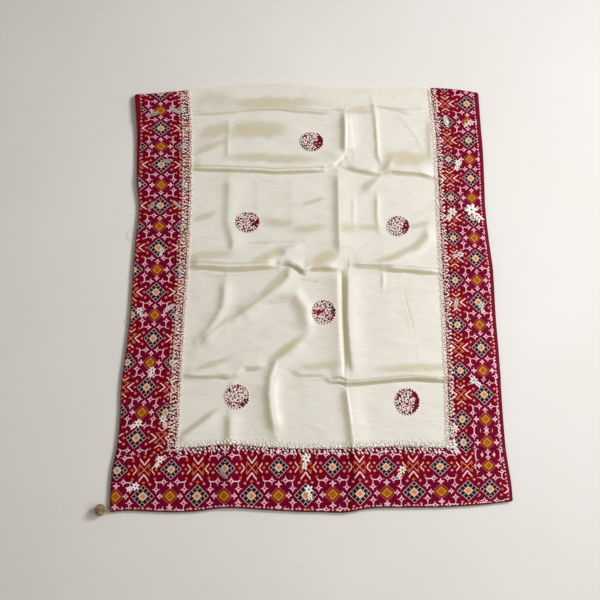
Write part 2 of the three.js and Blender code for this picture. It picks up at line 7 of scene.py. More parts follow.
import bpy
import numpy as np
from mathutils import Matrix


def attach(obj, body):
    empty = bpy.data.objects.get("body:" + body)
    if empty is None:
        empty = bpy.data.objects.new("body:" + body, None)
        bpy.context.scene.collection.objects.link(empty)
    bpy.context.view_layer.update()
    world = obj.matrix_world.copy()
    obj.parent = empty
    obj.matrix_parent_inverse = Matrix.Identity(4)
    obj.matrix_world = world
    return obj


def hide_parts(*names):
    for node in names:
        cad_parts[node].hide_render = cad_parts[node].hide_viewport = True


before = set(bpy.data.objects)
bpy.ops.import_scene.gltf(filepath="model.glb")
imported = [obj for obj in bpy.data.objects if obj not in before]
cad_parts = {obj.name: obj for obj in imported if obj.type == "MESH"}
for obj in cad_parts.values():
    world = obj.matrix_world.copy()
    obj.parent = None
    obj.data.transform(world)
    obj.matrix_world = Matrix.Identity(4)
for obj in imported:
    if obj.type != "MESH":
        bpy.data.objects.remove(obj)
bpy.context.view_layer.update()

MM = 0.001
RANDOM = np.random.default_rng(27)

# ---- sizes of the cloth ----

CLOTH_WIDTH = 1120
SHOWN_LENGTH = 1330
LEFT_BORDER = 166
RIGHT_BORDER = 152
PALLU_BORDER = 165
HALF_WIDTH = CLOTH_WIDTH / 2
LEFT_SEAM = -HALF_WIDTH + LEFT_BORDER
RIGHT_SEAM = HALF_WIDTH - RIGHT_BORDER

SILK = 0.7  # thickness of the visible cloth
UNDERSIDE = 0.3  # of the cloth, over the line that its solid stands on
TOP = UNDERSIDE + SILK
LAYER = 1.9  # from one hidden stretch down to the next
STACK_TOP = 3 * LAYER
LAID = STACK_TOP + 0.5  # the line that the visible cloth lies on
SWELL_RISE, SWELL_ACROSS, SWELL_UP = 0.8, 71, 93  # its slow rise and fall, and the spacing of that both ways
SOFT_RELIEF = 1.6  # what keeps the relief soft where folds run out
SLACK = 0.08  # height of the smallest waves
FOLD_RADIUS = 4  # of the roll at the far fold
FOLD_TURN = 1.9  # how far round it the visible cloth goes, in radians
ROLL_START = SHOWN_LENGTH - FOLD_RADIUS
SEAM_GAP = 0.15
CELL, PRINT_CELL = 4.8, 3.5  # mesh sizes on the cloth and across the print

# How far each edge and seam stands from the middle, going up the cloth.
SIDES = {
    "v": [0, 57, 107, 169, 257, 357, 457, 557, 707, 817, 917, 1007, 1117, 1207, 1330],
    "left": [-555, -557, -556, -547, -544, -546, -539, -534, -534, -532, -528, -539, -546, -551, -565],
    "left_seam": [-386, -385, -383, -381, -380, -380, -379, -377, -373, -373, -373, -375, -379, -384, -396],
    "right_seam": [400, 400, 399, 398, 400, 402, 404, 405, 405, 406, 407, 408, 408, 406, 399],
    "right": [565, 564, 560, 556, 555, 556, 557, 556, 558, 552, 549, 552, 555, 554, 554],
}

# The hem, the pallu seam and the far fold, going across the cloth.
ENDS = {
    "u": [-560, -517, -397, -327, -237, -127, -27, 33, 98, 173, 273, 373, 473, 560],
    "hem": [-664, -660, -664, -662, -653, -658, -663, -664, -665, -654, -652, -651, -645, -635],
    "seam": [-493, -493, -491, -487, -480, -488, -492, -492, -491, -489, -485, -489, -492, -494],
    "fold": [641, 646, 658, 666, 674, 681, 680, 673, 666, 665, 665, 668, 664, 650],
}

# Each fold: rise, how far it falls away on the right and on the left of its path, its crest (1 is
# pressed sharp, 2 is soft) and its path as the cloth lies.
FOLDS = [
    (2.6, 12, 26, 1.2, [(-380, 581), (-240, 590), (-205, 597), (-120, 601), (-40, 593), (60, 585),
        (110, 590), (200, 603), (320, 588), (400, 598)]),
    (7.5, 16, 56, 1.4, [(-372, 388), (-250, 385), (-150, 381), (-110, 377), (0, 381), (48, 384),
        (78, 393), (102, 413), (120, 433)]),
    (5, 14, 50, 1.4, [(112, 389), (150, 381), (200, 371), (226, 364)]),
    (5, 18, 44, 1.4, [(228, 364), (262, 376), (300, 372), (350, 368), (402, 354)]),
    (8, 20, 56, 1.3, [(-372, 68), (-300, 66), (-250, 62), (-200, 63), (-150, 66), (-92, 67)]),
    (7.5, 18, 40, 1.3, [(-84, 69), (-60, 67), (-38, 58), (-15, 41), (4, 52), (40, 55), (96, 52)]),
    (7, 20, 46, 1.3, [(128, 58), (180, 58), (230, 56), (300, 53), (350, 48), (400, 46), (556, 38)]),
    (5.5, 16, 50, 1.4, [(-377, -280), (-300, -283), (-262, -278), (-236, -282), (-212, -275),
        (-190, -257), (-150, -256), (-118, -246)]),
    (3, 16, 40, 1.4, [(-60, -266), (-20, -279), (30, -279), (62, -288)]),
    (9, 16, 60, 1.3, [(58, -291), (75, -288), (92, -286), (112, -296), (150, -295), (200, -290),
        (250, -285), (300, -282), (350, -286), (400, -287), (560, -291)]),
    (9, 30, 50, 2, [(124, 583), (125, 503), (122, 428)]),
    (8, 34, 60, 1.6, [(100, 368), (99, 233), (100, 93)]),
    (5, 60, 10, 1.4, [(90, 46), (91, -20), (92, -107), (96, -207), (99, -288)]),
    (7, 24, 70, 1.6, [(120, 40), (117, -107), (122, -207), (130, -285)]),
    (8, 36, 60, 1.8, [(112, -308), (120, -380), (128, -450), (133, -500), (141, -587), (115, -660)]),
    (2.5, 16, 20, 1.2, [(-257, 553), (-259, 393)]),
    (6, 28, 56, 1.7, [(-247, 353), (-248, 250), (-249, 200), (-240, 165), (-231, 130), (-238, 96)]),
    (2.5, 14, 10, 1.3, [(132, 583), (139, 503), (146, 430), (152, 400)]),
    (2, 16, 16, 1.4, [(142, 290), (139, 230), (140, 170)]),
    (3.5, 14, 16, 1.3, [(207, 633), (216, 570), (219, 480), (221, 420), (233, 384)]),
    (2.5, 16, 20, 1.3, [(214, 300), (213, 220), (216, 175), (224, 155)]),
    (2, 10, 10, 1.3, [(228, 45), (223, -25)]),
    (6, 50, 30, 1.7, [(-230, -657), (-230, -547), (-227, -482), (-226, -380)]),
    (6.5, 24, 46, 1.5, [(-58, 52), (-62, 15), (-88, -17), (-143, -57), (-193, -91), (-240, -118),
        (-330, -190)]),
    (3, 16, 28, 1.4, [(-190, -95), (-240, -140), (-275, -168)]),
    (5.5, 28, 40, 1.7, [(-253, 12), (-254, -50), (-260, -82), (-277, -116), (-298, -150), (-330, -176)]),
    (5, 44, 22, 1.8, [(-382, -482), (-262, -390)]),
    (3, 30, 16, 1.5, [(-240, -332), (-206, -286)]),
    (3.5, 24, 26, 1.5, [(168, 298), (215, 336), (226, 350)]),
    (4.5, 30, 22, 1.6, [(238, 370), (262, 398), (268, 418)]),
    (4, 44, 28, 1.7, [(225, 60), (275, 82), (325, 102), (367, 140), (368, 180)]),
    (5, 40, 28, 1.6, [(-88, 70), (-70, 98), (-15, 132)]),
    (4.5, 18, 38, 1.6, [(70, 58), (100, 90)]),
    (2.5, 24, 16, 1.4, [(-345, 452), (-312, 467), (-286, 487), (-240, 500)]),
    (7, 52, 40, 1.8, [(-217, -107), (-150, -52), (-90, -34), (-40, -34), (-10, -80), (-2, -150)]),
    (8, 36, 50, 1.8, [(-10, -178), (-50, -212), (-92, -248), (-106, -290), (-110, -340), (-104, -390),
        (-92, -450)]),
    (3, 24, 30, 1.8, [(396, 560), (394, 480), (393, 400)]),
    (6, 60, 30, 2, [(-556, 520), (-564, 600), (-570, 660)]),
    (3, 50, 30, 2, [(-536, 290), (-541, 370)]),
    (3.5, 30, 36, 2, [(80, -664), (130, -664)]),
]
FOLD_FADE = 36  # the length over which a fold runs out at each end
FOLD_END = 0.35  # the share of its rise that is left there

# Fine pressed lines and small crumples, in the same columns.
CREASES = [
    (6, 7, 16, 1.4, [(-380, 376), (-250, 373), (-150, 369), (-110, 365), (0, 369), (46, 372)]),
    (4, 7, 16, 1.4, [(112, 381), (150, 373), (200, 363), (224, 357)]),
    (4, 7, 16, 1.4, [(228, 356), (262, 368), (300, 364), (350, 360), (402, 346)]),
    (6.6, 20, 26, 1.4, [(-372, 54), (-300, 52), (-250, 48), (-200, 49), (-150, 52), (-92, 53)]),
    (5.5, 12, 18, 1.4, [(-84, 61), (-60, 59), (-38, 50), (-15, 33), (4, 44), (40, 47), (96, 44)]),
    (6, 16, 24, 1.4, [(225, 46), (300, 41), (350, 36), (404, 32)]),
    (2, 8, 14, 1.4, [(-370, -287), (-262, -285), (-236, -289), (-212, -282)]),
    (6.5, 10, 18, 1.4, [(60, -300), (112, -305), (150, -304), (200, -299), (250, -294), (300, -291),
        (404, -296)]),
    (1.2, 6, 16, 1.4, [(-380, 572), (-300, 577), (-240, 581), (-205, 588), (-120, 592), (-40, 584),
        (60, 576)]),
    (2.5, 50, 20, 1.5, [(112, 575), (113, 503), (110, 428)]),
    (4, 100, 24, 1.6, [(-100, -290), (-108, -340), (-100, -390), (-88, -450)]),
    (-3, 8, 44, 2, [(124, 583), (125, 503), (122, 428)]),
    (-3, 8, 50, 2, [(100, 368), (99, 233), (100, 93)]),
    (-3, 8, 50, 2, [(112, -308), (120, -380), (128, -450), (133, -500), (141, -587)]),
    (-3.5, 8, 50, 2, [(-10, -178), (-50, -212), (-92, -248), (-106, -290), (-110, -340), (-104, -390),
        (-92, -450)]),
    (-2, 20, 40, 1.8, [(-247, 353), (-248, 250), (-249, 200), (-240, 165), (-231, 130)]),
    (-2.6, 10, 14, 1.4, [(93, 44), (95, -20), (96, -107), (99, -207), (102, -288)]),
    (-2.5, 16, 16, 1.6, [(60, 386), (90, 402), (118, 430)]),
    (0.5, 20, 80, 1.3, [(-162, 366), (-161, 187)]),
    (0.5, 20, 70, 1.3, [(-56, 366), (-55, 171)]),
    (-2.2, 4.5, 5, 1.4, [(-380, 563), (-300, 568), (-240, 573), (-210, 579), (-150, 583), (-90, 583),
        (-50, 576), (60, 568)]),
    (-0.9, 5, 5, 1.4, [(60, 591), (95, 580), (140, 577)]),
    (-0.7, 8, 8, 1.4, [(230, 590), (290, 578), (330, 562), (370, 572), (400, 585)]),
    (-1.6, 5, 6, 1.4, [(-350, 366), (-250, 363), (-150, 360), (-115, 356), (-40, 357), (45, 363)]),
    (-1.8, 5, 5, 1.4, [(60, 368), (78, 380), (100, 400), (118, 421)]),
    (-1.3, 5, 5, 1.4, [(115, 371), (150, 361), (200, 351), (224, 345)]),
    (-1.1, 5, 5, 1.4, [(224, 341), (262, 355), (300, 351), (350, 348), (400, 334)]),
    (-2.0, 6, 9, 1.4, [(-370, 38), (-320, 40), (-250, 33), (-200, 33), (-150, 38), (-100, 42)]),
    (-0.9, 5, 5, 1.4, [(-330, 22), (-280, 18), (-220, 20), (-150, 30)]),
    (-2.2, 6, 6, 1.4, [(-78, 52), (-60, 50), (-42, 40), (-24, 25), (-12, 22), (2, 33)]),
    (-1.5, 8, 8, 1.4, [(4, 34), (50, 33), (97, 31)]),
    (-1.0, 4, 4, 1.4, [(130, 44), (215, 42)]),
    (-1.8, 8, 6, 1.4, [(228, 34), (300, 30), (350, 25), (404, 23)]),
    (-1.7, 5, 5, 1.4, [(-272, -293), (-245, -297), (-215, -291), (-203, -279), (-190, -272), (-150, -270),
        (-118, -259)]),
    (-0.9, 5, 5, 1.4, [(-40, -289), (30, -288)]),
    (-2.4, 6, 7, 1.4, [(60, -310), (80, -307), (92, -309), (108, -318), (150, -315), (200, -309),
        (250, -304), (310, -301), (350, -305), (404, -306)]),
    (-0.9, 5, 5, 1.4, [(138, 575), (145, 510), (144, 470), (152, 410)]),
    (-1.0, 6, 6, 1.4, [(101, 48), (101, -20), (102, -130), (106, -288)]),
    (0.9, 5, 5, 1.3, [(213, 570), (217, 480), (219, 420)]),
    (-0.9, 5, 5, 1.3, [(208, 600), (214, 580), (211, 500), (214, 430)]),
    (0.7, 5, 5, 1.3, [(141, 290), (138, 200)]),
    (0.8, 5, 5, 1.3, [(214, 290), (212, 200)]),
    (0.8, 5, 5, 1.2, [(226, 45), (222, -25)]),
    (-1.0, 5, 5, 1.3, [(284, -20), (292, -70), (303, -120), (311, -168)]),
    (0.7, 5, 5, 1.3, [(279, -20), (287, -70), (298, -120), (306, -168)]),
    (0.5, 5, 5, 1.3, [(322, -190), (322, -252)]),
    (-1.5, 4, 5, 1.3, [(-196, 128), (-150, 126), (-100, 128), (-42, 131)]),
    (-0.9, 5, 5, 1.3, [(-45, 12), (0, 6), (50, -6)]),
    (-0.9, 6, 6, 1.3, [(-25, -8), (0, -36)]),
    (-1.0, 7, 7, 1.3, [(150, 108), (175, 128), (206, 150)]),
    (-1.5, 6, 6, 1.3, [(170, 304), (195, 322), (217, 346)]),
    (-1.4, 6, 6, 1.3, [(222, 366), (240, 384), (256, 408)]),
    (-1.4, 6, 6, 1.3, [(-350, 449), (-312, 462), (-290, 480), (-252, 498)]),
    (-0.9, 5, 5, 1.3, [(-355, 112), (-300, 110), (-255, 112), (-235, 126)]),
    (-0.6, 6, 6, 1.3, [(-355, 140), (-300, 142), (-270, 138)]),
    (-0.7, 7, 7, 1.3, [(-355, 88), (-300, 80), (-260, 84)]),
    (-0.8, 7, 7, 1.3, [(-345, 205), (-320, 215), (-298, 228)]),
    (-1.3, 6, 6, 1.3, [(-240, -105), (-290, -150), (-335, -195)]),
    (1.0, 9, 10, 1.3, [(-345, -262), (-290, -250), (-245, -235)]),
    (-1.1, 5, 5, 1.3, [(-386, -466), (-330, -425), (-275, -388)]),
    (0.9, 5, 5, 1.3, [(-378, -484), (-320, -440), (-264, -398)]),
    (-0.7, 9, 9, 1.3, [(-196, -100), (-150, -75), (-60, -62)]),
    (-0.7, 6, 6, 1.3, [(100, -190), (140, -188)]),
    (-1.3, 6, 6, 1.3, [(66, 62), (82, 76), (100, 92)]),
    (-1.1, 6, 6, 1.3, [(-125, 92), (-80, 108), (-20, 134)]),
    (0.8, 9, 9, 1.2, [(-320, 520), (-240, 540), (-180, 505)]),
    (0.8, 10, 12, 1.2, [(-300, 556), (-262, 548)]),
    (0.8, 10, 10, 1.3, [(20, -240), (60, -225), (90, -205)]),
    (0.8, 9, 9, 1.2, [(125, -320), (160, -330), (190, -330)]),
    (0.7, 12, 12, 1.4, [(-380, -120), (-300, -90), (-240, -20)]),
    (0.7, 12, 12, 1.4, [(-350, 330), (-290, 345), (-255, 350)]),
    (0.7, 10, 10, 1.3, [(300, 560), (340, 500), (370, 440)]),
    (0.7, 10, 10, 1.3, [(-100, 250), (-60, 262), (-20, 258), (20, 290)]),
    (0.6, 12, 12, 1.3, [(-20, -420), (40, -440), (120, -410)]),
]


# ---- the laid cloth as a function of its flat sizes ----

def curve(keys, values, at):
    """Cubic Hermite curve through the values, each slope between its neighbours', straight past the ends."""
    keys, values = np.asarray(keys, float), np.asarray(values, float)
    low = np.r_[0, np.arange(len(keys) - 1)]
    high = np.r_[np.arange(1, len(keys)), len(keys) - 1]
    slopes = (values[high] - values[low]) / (keys[high] - keys[low])
    i = np.clip(np.searchsorted(keys, at) - 1, 0, len(keys) - 2)
    span = keys[i + 1] - keys[i]
    t = np.clip((at - keys[i]) / span, 0, 1)
    inside = (values[i] * (2 * t**3 - 3 * t**2 + 1) + slopes[i] * span * (t**3 - 2 * t**2 + t)
              + values[i + 1] * (3 * t**2 - 2 * t**3) + slopes[i + 1] * span * (t**3 - t**2))
    before = np.minimum(at - keys[0], 0) * slopes[0]
    return inside + before + np.maximum(at - keys[-1], 0) * slopes[-1]


def straight(keys, values, at):
    """Straight lines through the values, carried on past both ends. Values may be arrays like at."""
    result = values[0] + (values[1] - values[0]) * (at - keys[0]) / (keys[1] - keys[0])
    for k in range(1, len(keys) - 1):
        line = values[k] + (values[k + 1] - values[k]) * (at - keys[k]) / (keys[k + 1] - keys[k])
        result = np.where(at > keys[k], line, result)
    return result


def lie(u, v):
    """Where flat point (u, v) lies, seen from above: straight between the edge and seam curves, each way."""
    across = [curve(SIDES["v"], SIDES[k], v) for k in ("left", "left_seam", "right_seam", "right")]
    up = [curve(ENDS["u"], ENDS[k], u) for k in ("hem", "seam", "fold")]
    x = straight([-HALF_WIDTH, LEFT_SEAM, RIGHT_SEAM, HALF_WIDTH], across, u)
    y = straight([0, PALLU_BORDER, SHOWN_LENGTH], up, v)
    return x, y


def flat(x, y):
    """The flat point that lies at (x, y), found by stepping back by the miss six times."""
    u, v = np.asarray(x, float), np.asarray(y, float) + SHOWN_LENGTH / 2
    for _ in range(6):
        there = lie(u, v)
        u, v = u + x - there[0], v + y - there[1]
    return u, v


def fold_height(fold, x, y):
    """Rise times exp(-(distance to the path / half the reach on that side) ^ crest), less at its two ends."""
    rise, near, far, crest, path = fold
    best = np.full(x.shape, np.inf)
    side, run, length = np.zeros(x.shape), np.zeros(x.shape), 0.0
    for (ax, ay), (bx, by) in zip(path, path[1:]):
        step = np.hypot(bx - ax, by - ay)
        t = np.clip(((x - ax) * (bx - ax) + (y - ay) * (by - ay)) / step**2, 0, 1)
        distance = np.hypot(x - ax - t * (bx - ax), y - ay - t * (by - ay))
        closer = distance < best
        best = np.where(closer, distance, best)
        side = np.where(closer, (bx - ax) * (y - ay) - (by - ay) * (x - ax), side)
        run = np.where(closer, length + t * step, run)
        length += step
    end = np.clip(np.minimum(run, length - run) / FOLD_FADE, 0, 1)
    fade = FOLD_END + (1 - FOLD_END) * end**2 * (3 - 2 * end)
    reach = np.where(side > 0, far, near) / 2
    return rise * fade * np.exp(-((best / reach) ** crest))


def relief(x, y):
    """Height of the top stretch: the root of the folds' squares plus a slow swell, through log(1 + exp(sum)),
    then the creases and a slack of crossed, wandering waves."""
    swell = SWELL_RISE * np.sin(x / SWELL_ACROSS + 1) * np.sin(y / SWELL_UP) + SOFT_RELIEF
    folds = np.sqrt(sum(fold_height(fold, x, y) ** 2 for fold in FOLDS))
    height = LAID + np.log1p(np.exp(swell + folds))
    for crease in CREASES:
        height = height + fold_height(crease, x, y)
    slack = SLACK * np.sin(x / 9 + 2 * np.sin(y / 37)) * np.sin(y / 13 + 1.7 * np.sin(x / 29))
    return height + slack * (0.4 + 0.6 * np.sin(x / 53 + 2) ** 2)


def on_cloth(u, v):
    """Points of the top stretch. Past the far fold the cloth rolls over in an arc of FOLD_RADIUS."""
    x, y = lie(u, np.minimum(v, ROLL_START))
    turn = np.maximum(v - ROLL_START, 0) / FOLD_RADIUS
    z = relief(x, y) - FOLD_RADIUS * (1 - np.cos(turn))
    return np.stack([x, y + FOLD_RADIUS * np.sin(turn), z], axis=-1)


def cloth_frame(u, v):
    """Point, way across, way up and normal of the cloth at each (u, v), by differences e mm to each side."""
    e = 0.5
    across = on_cloth(u + e, v) - on_cloth(u - e, v)
    up = on_cloth(u, v + e) - on_cloth(u, v - e)
    normal = np.cross(across, up)
    unit = [w / np.linalg.norm(w, axis=-1, keepdims=True) for w in (across, normal)]
    return on_cloth(u, v), unit[0], np.cross(unit[1], unit[0]), unit[1]


def off_cloth(u, v, out):
    """Points moved out from the cloth along its normal."""
    point, _, _, normal = cloth_frame(u, v)
    return point + normal * out


# ---- meshes ----

def make(name, points, faces, material, uv=None, tone=None, body="root"):
    """Object from points in mm (n, 3) and faces (m, 3 or 4), with a UV pair for each face corner and a
    tone for each point where they are given."""
    points, faces = np.asarray(points, float).reshape(-1, 3), np.asarray(faces)
    mesh = bpy.data.meshes.new(name)
    mesh.vertices.add(len(points))
    mesh.vertices.foreach_set("co", (points * MM).ravel())
    mesh.loops.add(faces.size)
    mesh.loops.foreach_set("vertex_index", faces.ravel())
    mesh.polygons.add(len(faces))
    mesh.polygons.foreach_set("loop_start", np.arange(len(faces)) * faces.shape[1])
    mesh.polygons.foreach_set("use_smooth", np.ones(len(faces), bool))
    mesh.update(calc_edges=True)
    if uv is not None:
        mesh.uv_layers.new(name="cloth").data.foreach_set("uv", np.asarray(uv, float).ravel())
    if tone is not None:
        tones = mesh.attributes.new("tone", "FLOAT", "POINT")
        tones.data.foreach_set("value", np.asarray(tone, float).ravel())
    obj = bpy.data.objects.new(name, mesh)
    bpy.context.collection.objects.link(obj)
    mesh.materials.append(material)
    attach(obj, body)
    return obj


def stations(low, high, step, *through):
    """Even stations from low to high no further apart than step, passing through the given values."""
    marks = sorted([low, high, *[t for t in through if low < t < high]])
    counts = [max(int(np.ceil((b - a) / step)), 1) for a, b in zip(marks, marks[1:])]
    parts = [np.linspace(a, b, count + 1)[:-1] for a, b, count in zip(marks, marks[1:], counts)]
    return np.r_[np.concatenate(parts), high]


def quads(nu, nv, start=0):
    """Faces of a grid of nv rows of nu points."""
    a = (np.arange(nv - 1)[:, None] * nu + np.arange(nu - 1)).ravel() + start
    return np.stack([a, a + 1, a + nu + 1, a + nu], axis=-1)


def rim_of(nu, nv):
    """Indices round the edge of a grid, anticlockwise."""
    across, up = np.arange(nu), np.arange(nv) * nu
    return np.r_[across[:-1], up[:-1] + nu - 1, (across + (nv - 1) * nu)[:0:-1], up[:0:-1]]


def crowded(low, high, coarse, fine, *lines):
    """Mesh lines from low to high, coarse apart, but fine within a reach of each (place, reach)."""
    at = np.linspace(low, high, 4000)
    near = np.max([np.exp(-(((at - place) / reach) ** 4)) for place, reach in lines], axis=0)
    count = np.cumsum(1 / coarse + near * (1 / fine - 1 / coarse)) * (at[1] - at[0])
    count -= count[0]
    return np.interp(np.linspace(0, count[-1], int(np.ceil(count[-1])) + 1), count, at)


def two_sided(nu, nv):
    """Faces of a closed sheet: an upper grid of points, then a lower one, then the rim between them."""
    upper, rim = quads(nu, nv), rim_of(nu, nv)
    after = np.roll(rim, -1)
    sides = np.stack([rim + nu * nv, after + nu * nv, after, rim], axis=-1)
    return np.concatenate([upper, upper[:, ::-1] + nu * nv, sides])


def cloth_panel(name, us, vs, material, uv_of, tone_of=None):
    """A thin sheet over a patch of the cloth: two grids a silk's thickness apart, with a rim."""
    u, v = np.meshgrid(us, vs)
    point, _, _, normal = cloth_frame(u, v)
    points = np.concatenate([(point + normal * out).reshape(-1, 3) for out in (TOP, UNDERSIDE)])
    faces = two_sided(len(us), len(vs))
    flat_uv = np.stack([np.tile(u.ravel(), 2), np.tile(v.ravel(), 2)], axis=-1)
    corners = flat_uv[faces]
    uv = uv_of(corners, corners.mean(axis=1, keepdims=True))
    tone = None if tone_of is None else tone_of(*flat_uv.T, np.tile(normal.reshape(-1, 3), (2, 1)))
    return make(name, points, faces, material, uv * MM, tone)


def tube(centres, radius, sides):
    """Points and triangles of a closed tube: at each centre a ring square to the path, and pointed ends."""
    centres = np.asarray(centres, float)
    ahead = np.gradient(centres, axis=0)
    ahead /= np.linalg.norm(ahead, axis=1, keepdims=True)
    level = np.cross(ahead, [0, 0, 1.0])
    level /= np.linalg.norm(level, axis=1, keepdims=True)
    over = np.cross(level, ahead)
    n = len(centres)
    turn = np.arange(sides) * 2 * np.pi / sides
    way = np.cos(turn)[:, None] * level[:, None] - np.sin(turn)[:, None] * over[:, None]
    ring = centres[:, None] + np.broadcast_to(radius, n)[:, None, None] * way
    k = np.arange(sides)
    nearer = np.arange(n - 1)[:, None] * sides
    a, b = (nearer + k).ravel(), (nearer + (k + 1) % sides).ravel()
    walls = [np.stack([a, b, b + sides], 1), np.stack([a, b + sides, a + sides], 1)]
    last = (n - 1) * sides
    caps = [np.stack([(k + 1) % sides, k, np.full(sides, n * sides)], 1),
            np.stack([last + k, last + (k + 1) % sides, np.full(sides, n * sides + 1)], 1)]
    return np.concatenate([ring.reshape(-1, 3), centres[[0, -1]]]), np.concatenate(walls + caps)


def joined(parts):
    """One set of points, faces and tones from several (points, faces, tone) parts."""
    counts = np.cumsum([0] + [len(p[0]) for p in parts])
    points = np.concatenate([p[0] for p in parts])
    faces = np.concatenate([p[1] + start for p, start in zip(parts, counts)])
    return points, faces, np.concatenate([np.broadcast_to(p[2], len(p[0])) for p in parts])


def petal_shape():
    """A sewn petal one unit long, wide and high: three rings of six, each as wide as the sine of pi times t
    to the 0.85 says, and a point at both ends."""
    t = np.array([0.16, 0.45, 0.78])
    turn = np.arange(6) * np.pi / 3
    wide = np.sin(np.pi * t ** 0.85)[:, None] / 2
    x = np.broadcast_to(t[:, None], (3, 6))
    ring = np.stack([x, wide * np.cos(turn), 0.45 + wide * np.sin(turn)], axis=-1).reshape(-1, 3)
    points = np.concatenate([ring, [[0, 0, 0.35], [1, 0, 0.35]]])
    k = np.arange(6)
    after = (k + 1) % 6
    a, b = np.r_[k, k + 6], np.r_[after, after + 6]
    walls = np.concatenate([np.stack([a, b + 6, b], 1), np.stack([a, a + 6, b + 6], 1)])
    start, tip = np.full(6, len(ring)), np.full(6, len(ring) + 1)
    caps = np.concatenate([np.stack([after, start, k], 1), np.stack([k + 12, tip, after + 12], 1)])
    return points, np.concatenate([walls, caps])


def ball_shape(around, up):
    """A ball one unit across, standing on 0: rings of points between two poles."""
    lat = np.linspace(-np.pi / 2, np.pi / 2, up + 1)[1:-1]
    lon = np.arange(around) * 2 * np.pi / around
    ring = np.stack([np.outer(np.cos(lat), np.cos(lon)), np.outer(np.cos(lat), np.sin(lon)),
                     np.outer(np.sin(lat), np.ones(around))], axis=-1).reshape(-1, 3)
    points = np.concatenate([ring, [[0, 0, -1.0], [0, 0, 1.0]]]) / 2 + [0, 0, 0.5]
    k = np.arange(around)
    after = (k + 1) % around
    row = np.arange(up - 2)[:, None] * around
    a, b = (row + k).ravel(), (row + after).ravel()
    top = (up - 2) * around
    poles = len(ring)
    faces = [np.stack([a, b, b + around], 1), np.stack([a, b + around, a + around], 1),
             np.stack([after, k, np.full(around, poles)], 1),
             np.stack([top + k, top + after, np.full(around, poles + 1)], 1)]
    return points, np.concatenate(faces)


PETAL = petal_shape()
BEAD = ball_shape(6, 4)


def sewn(shape, u, v, angle, size, lift=0.0, tone=0.5):
    """Copies of a shape on the cloth: each at (u, v), scaled to size, its x turned by angle from the way
    across."""
    u, v, angle = np.broadcast_arrays(*(np.atleast_1d(np.asarray(a, float)) for a in (u, v, angle)))
    size = np.broadcast_to(np.asarray(size, float), (len(u), 3))
    point, across, up, normal = cloth_frame(u, v)
    along = np.cos(angle)[:, None] * across + np.sin(angle)[:, None] * up
    aside = np.cross(normal, along)
    unit, faces = shape
    base = point + normal * (TOP + np.broadcast_to(lift, len(u)))[:, None]
    axes = np.stack([along * size[:, :1], aside * size[:, 1:2], normal * size[:, 2:]], axis=1)
    points = base[:, None] + np.einsum("kj,nji->nki", unit, axes)
    start = np.arange(len(u))[:, None, None] * len(unit)
    tones = np.repeat(np.broadcast_to(tone, len(u)), len(unit))
    return points.reshape(-1, 3), (faces[None] + start).reshape(-1, faces.shape[1]), tones


# ---- colours and materials ----

def rgb(red, green, blue):
    """Linear colour from the usual 0 to 255 values."""
    c = np.array([red, green, blue]) / 255
    return (*np.where(c <= 0.04045, c / 12.92, ((c + 0.055) / 1.055) ** 2.4), 1.0)


class Number:
    """A number worked out by a material: each sum or function of it adds one Math node."""

    def __init__(self, tree, socket):
        self.tree = tree
        self.socket = socket

    def math(self, operation, *others):
        node = self.tree.nodes.new("ShaderNodeMath")
        node.operation = operation
        for slot, value in zip(node.inputs, (self, *others)):
            if isinstance(value, Number):
                self.tree.links.new(value.socket, slot)
            else:
                slot.default_value = value
        return Number(self.tree, node.outputs[0])

    def __add__(self, other):
        return self.math("ADD", other)

    def __sub__(self, other):
        return self.math("SUBTRACT", other)

    def __mul__(self, other):
        return self.math("MULTIPLY", other)

    def __lt__(self, other):
        return self.math("LESS_THAN", other)

    def __gt__(self, other):
        return self.math("GREATER_THAN", other)

    def __and__(self, other):
        return self.math("MULTIPLY", other)

    def __or__(self, other):
        return self.math("MAXIMUM", other)

    def __abs__(self):
        return self.math("ABSOLUTE")

    def outside(self):
        """1 where this is 0 and 0 where it is 1."""
        return (self * -1.0) + 1.0


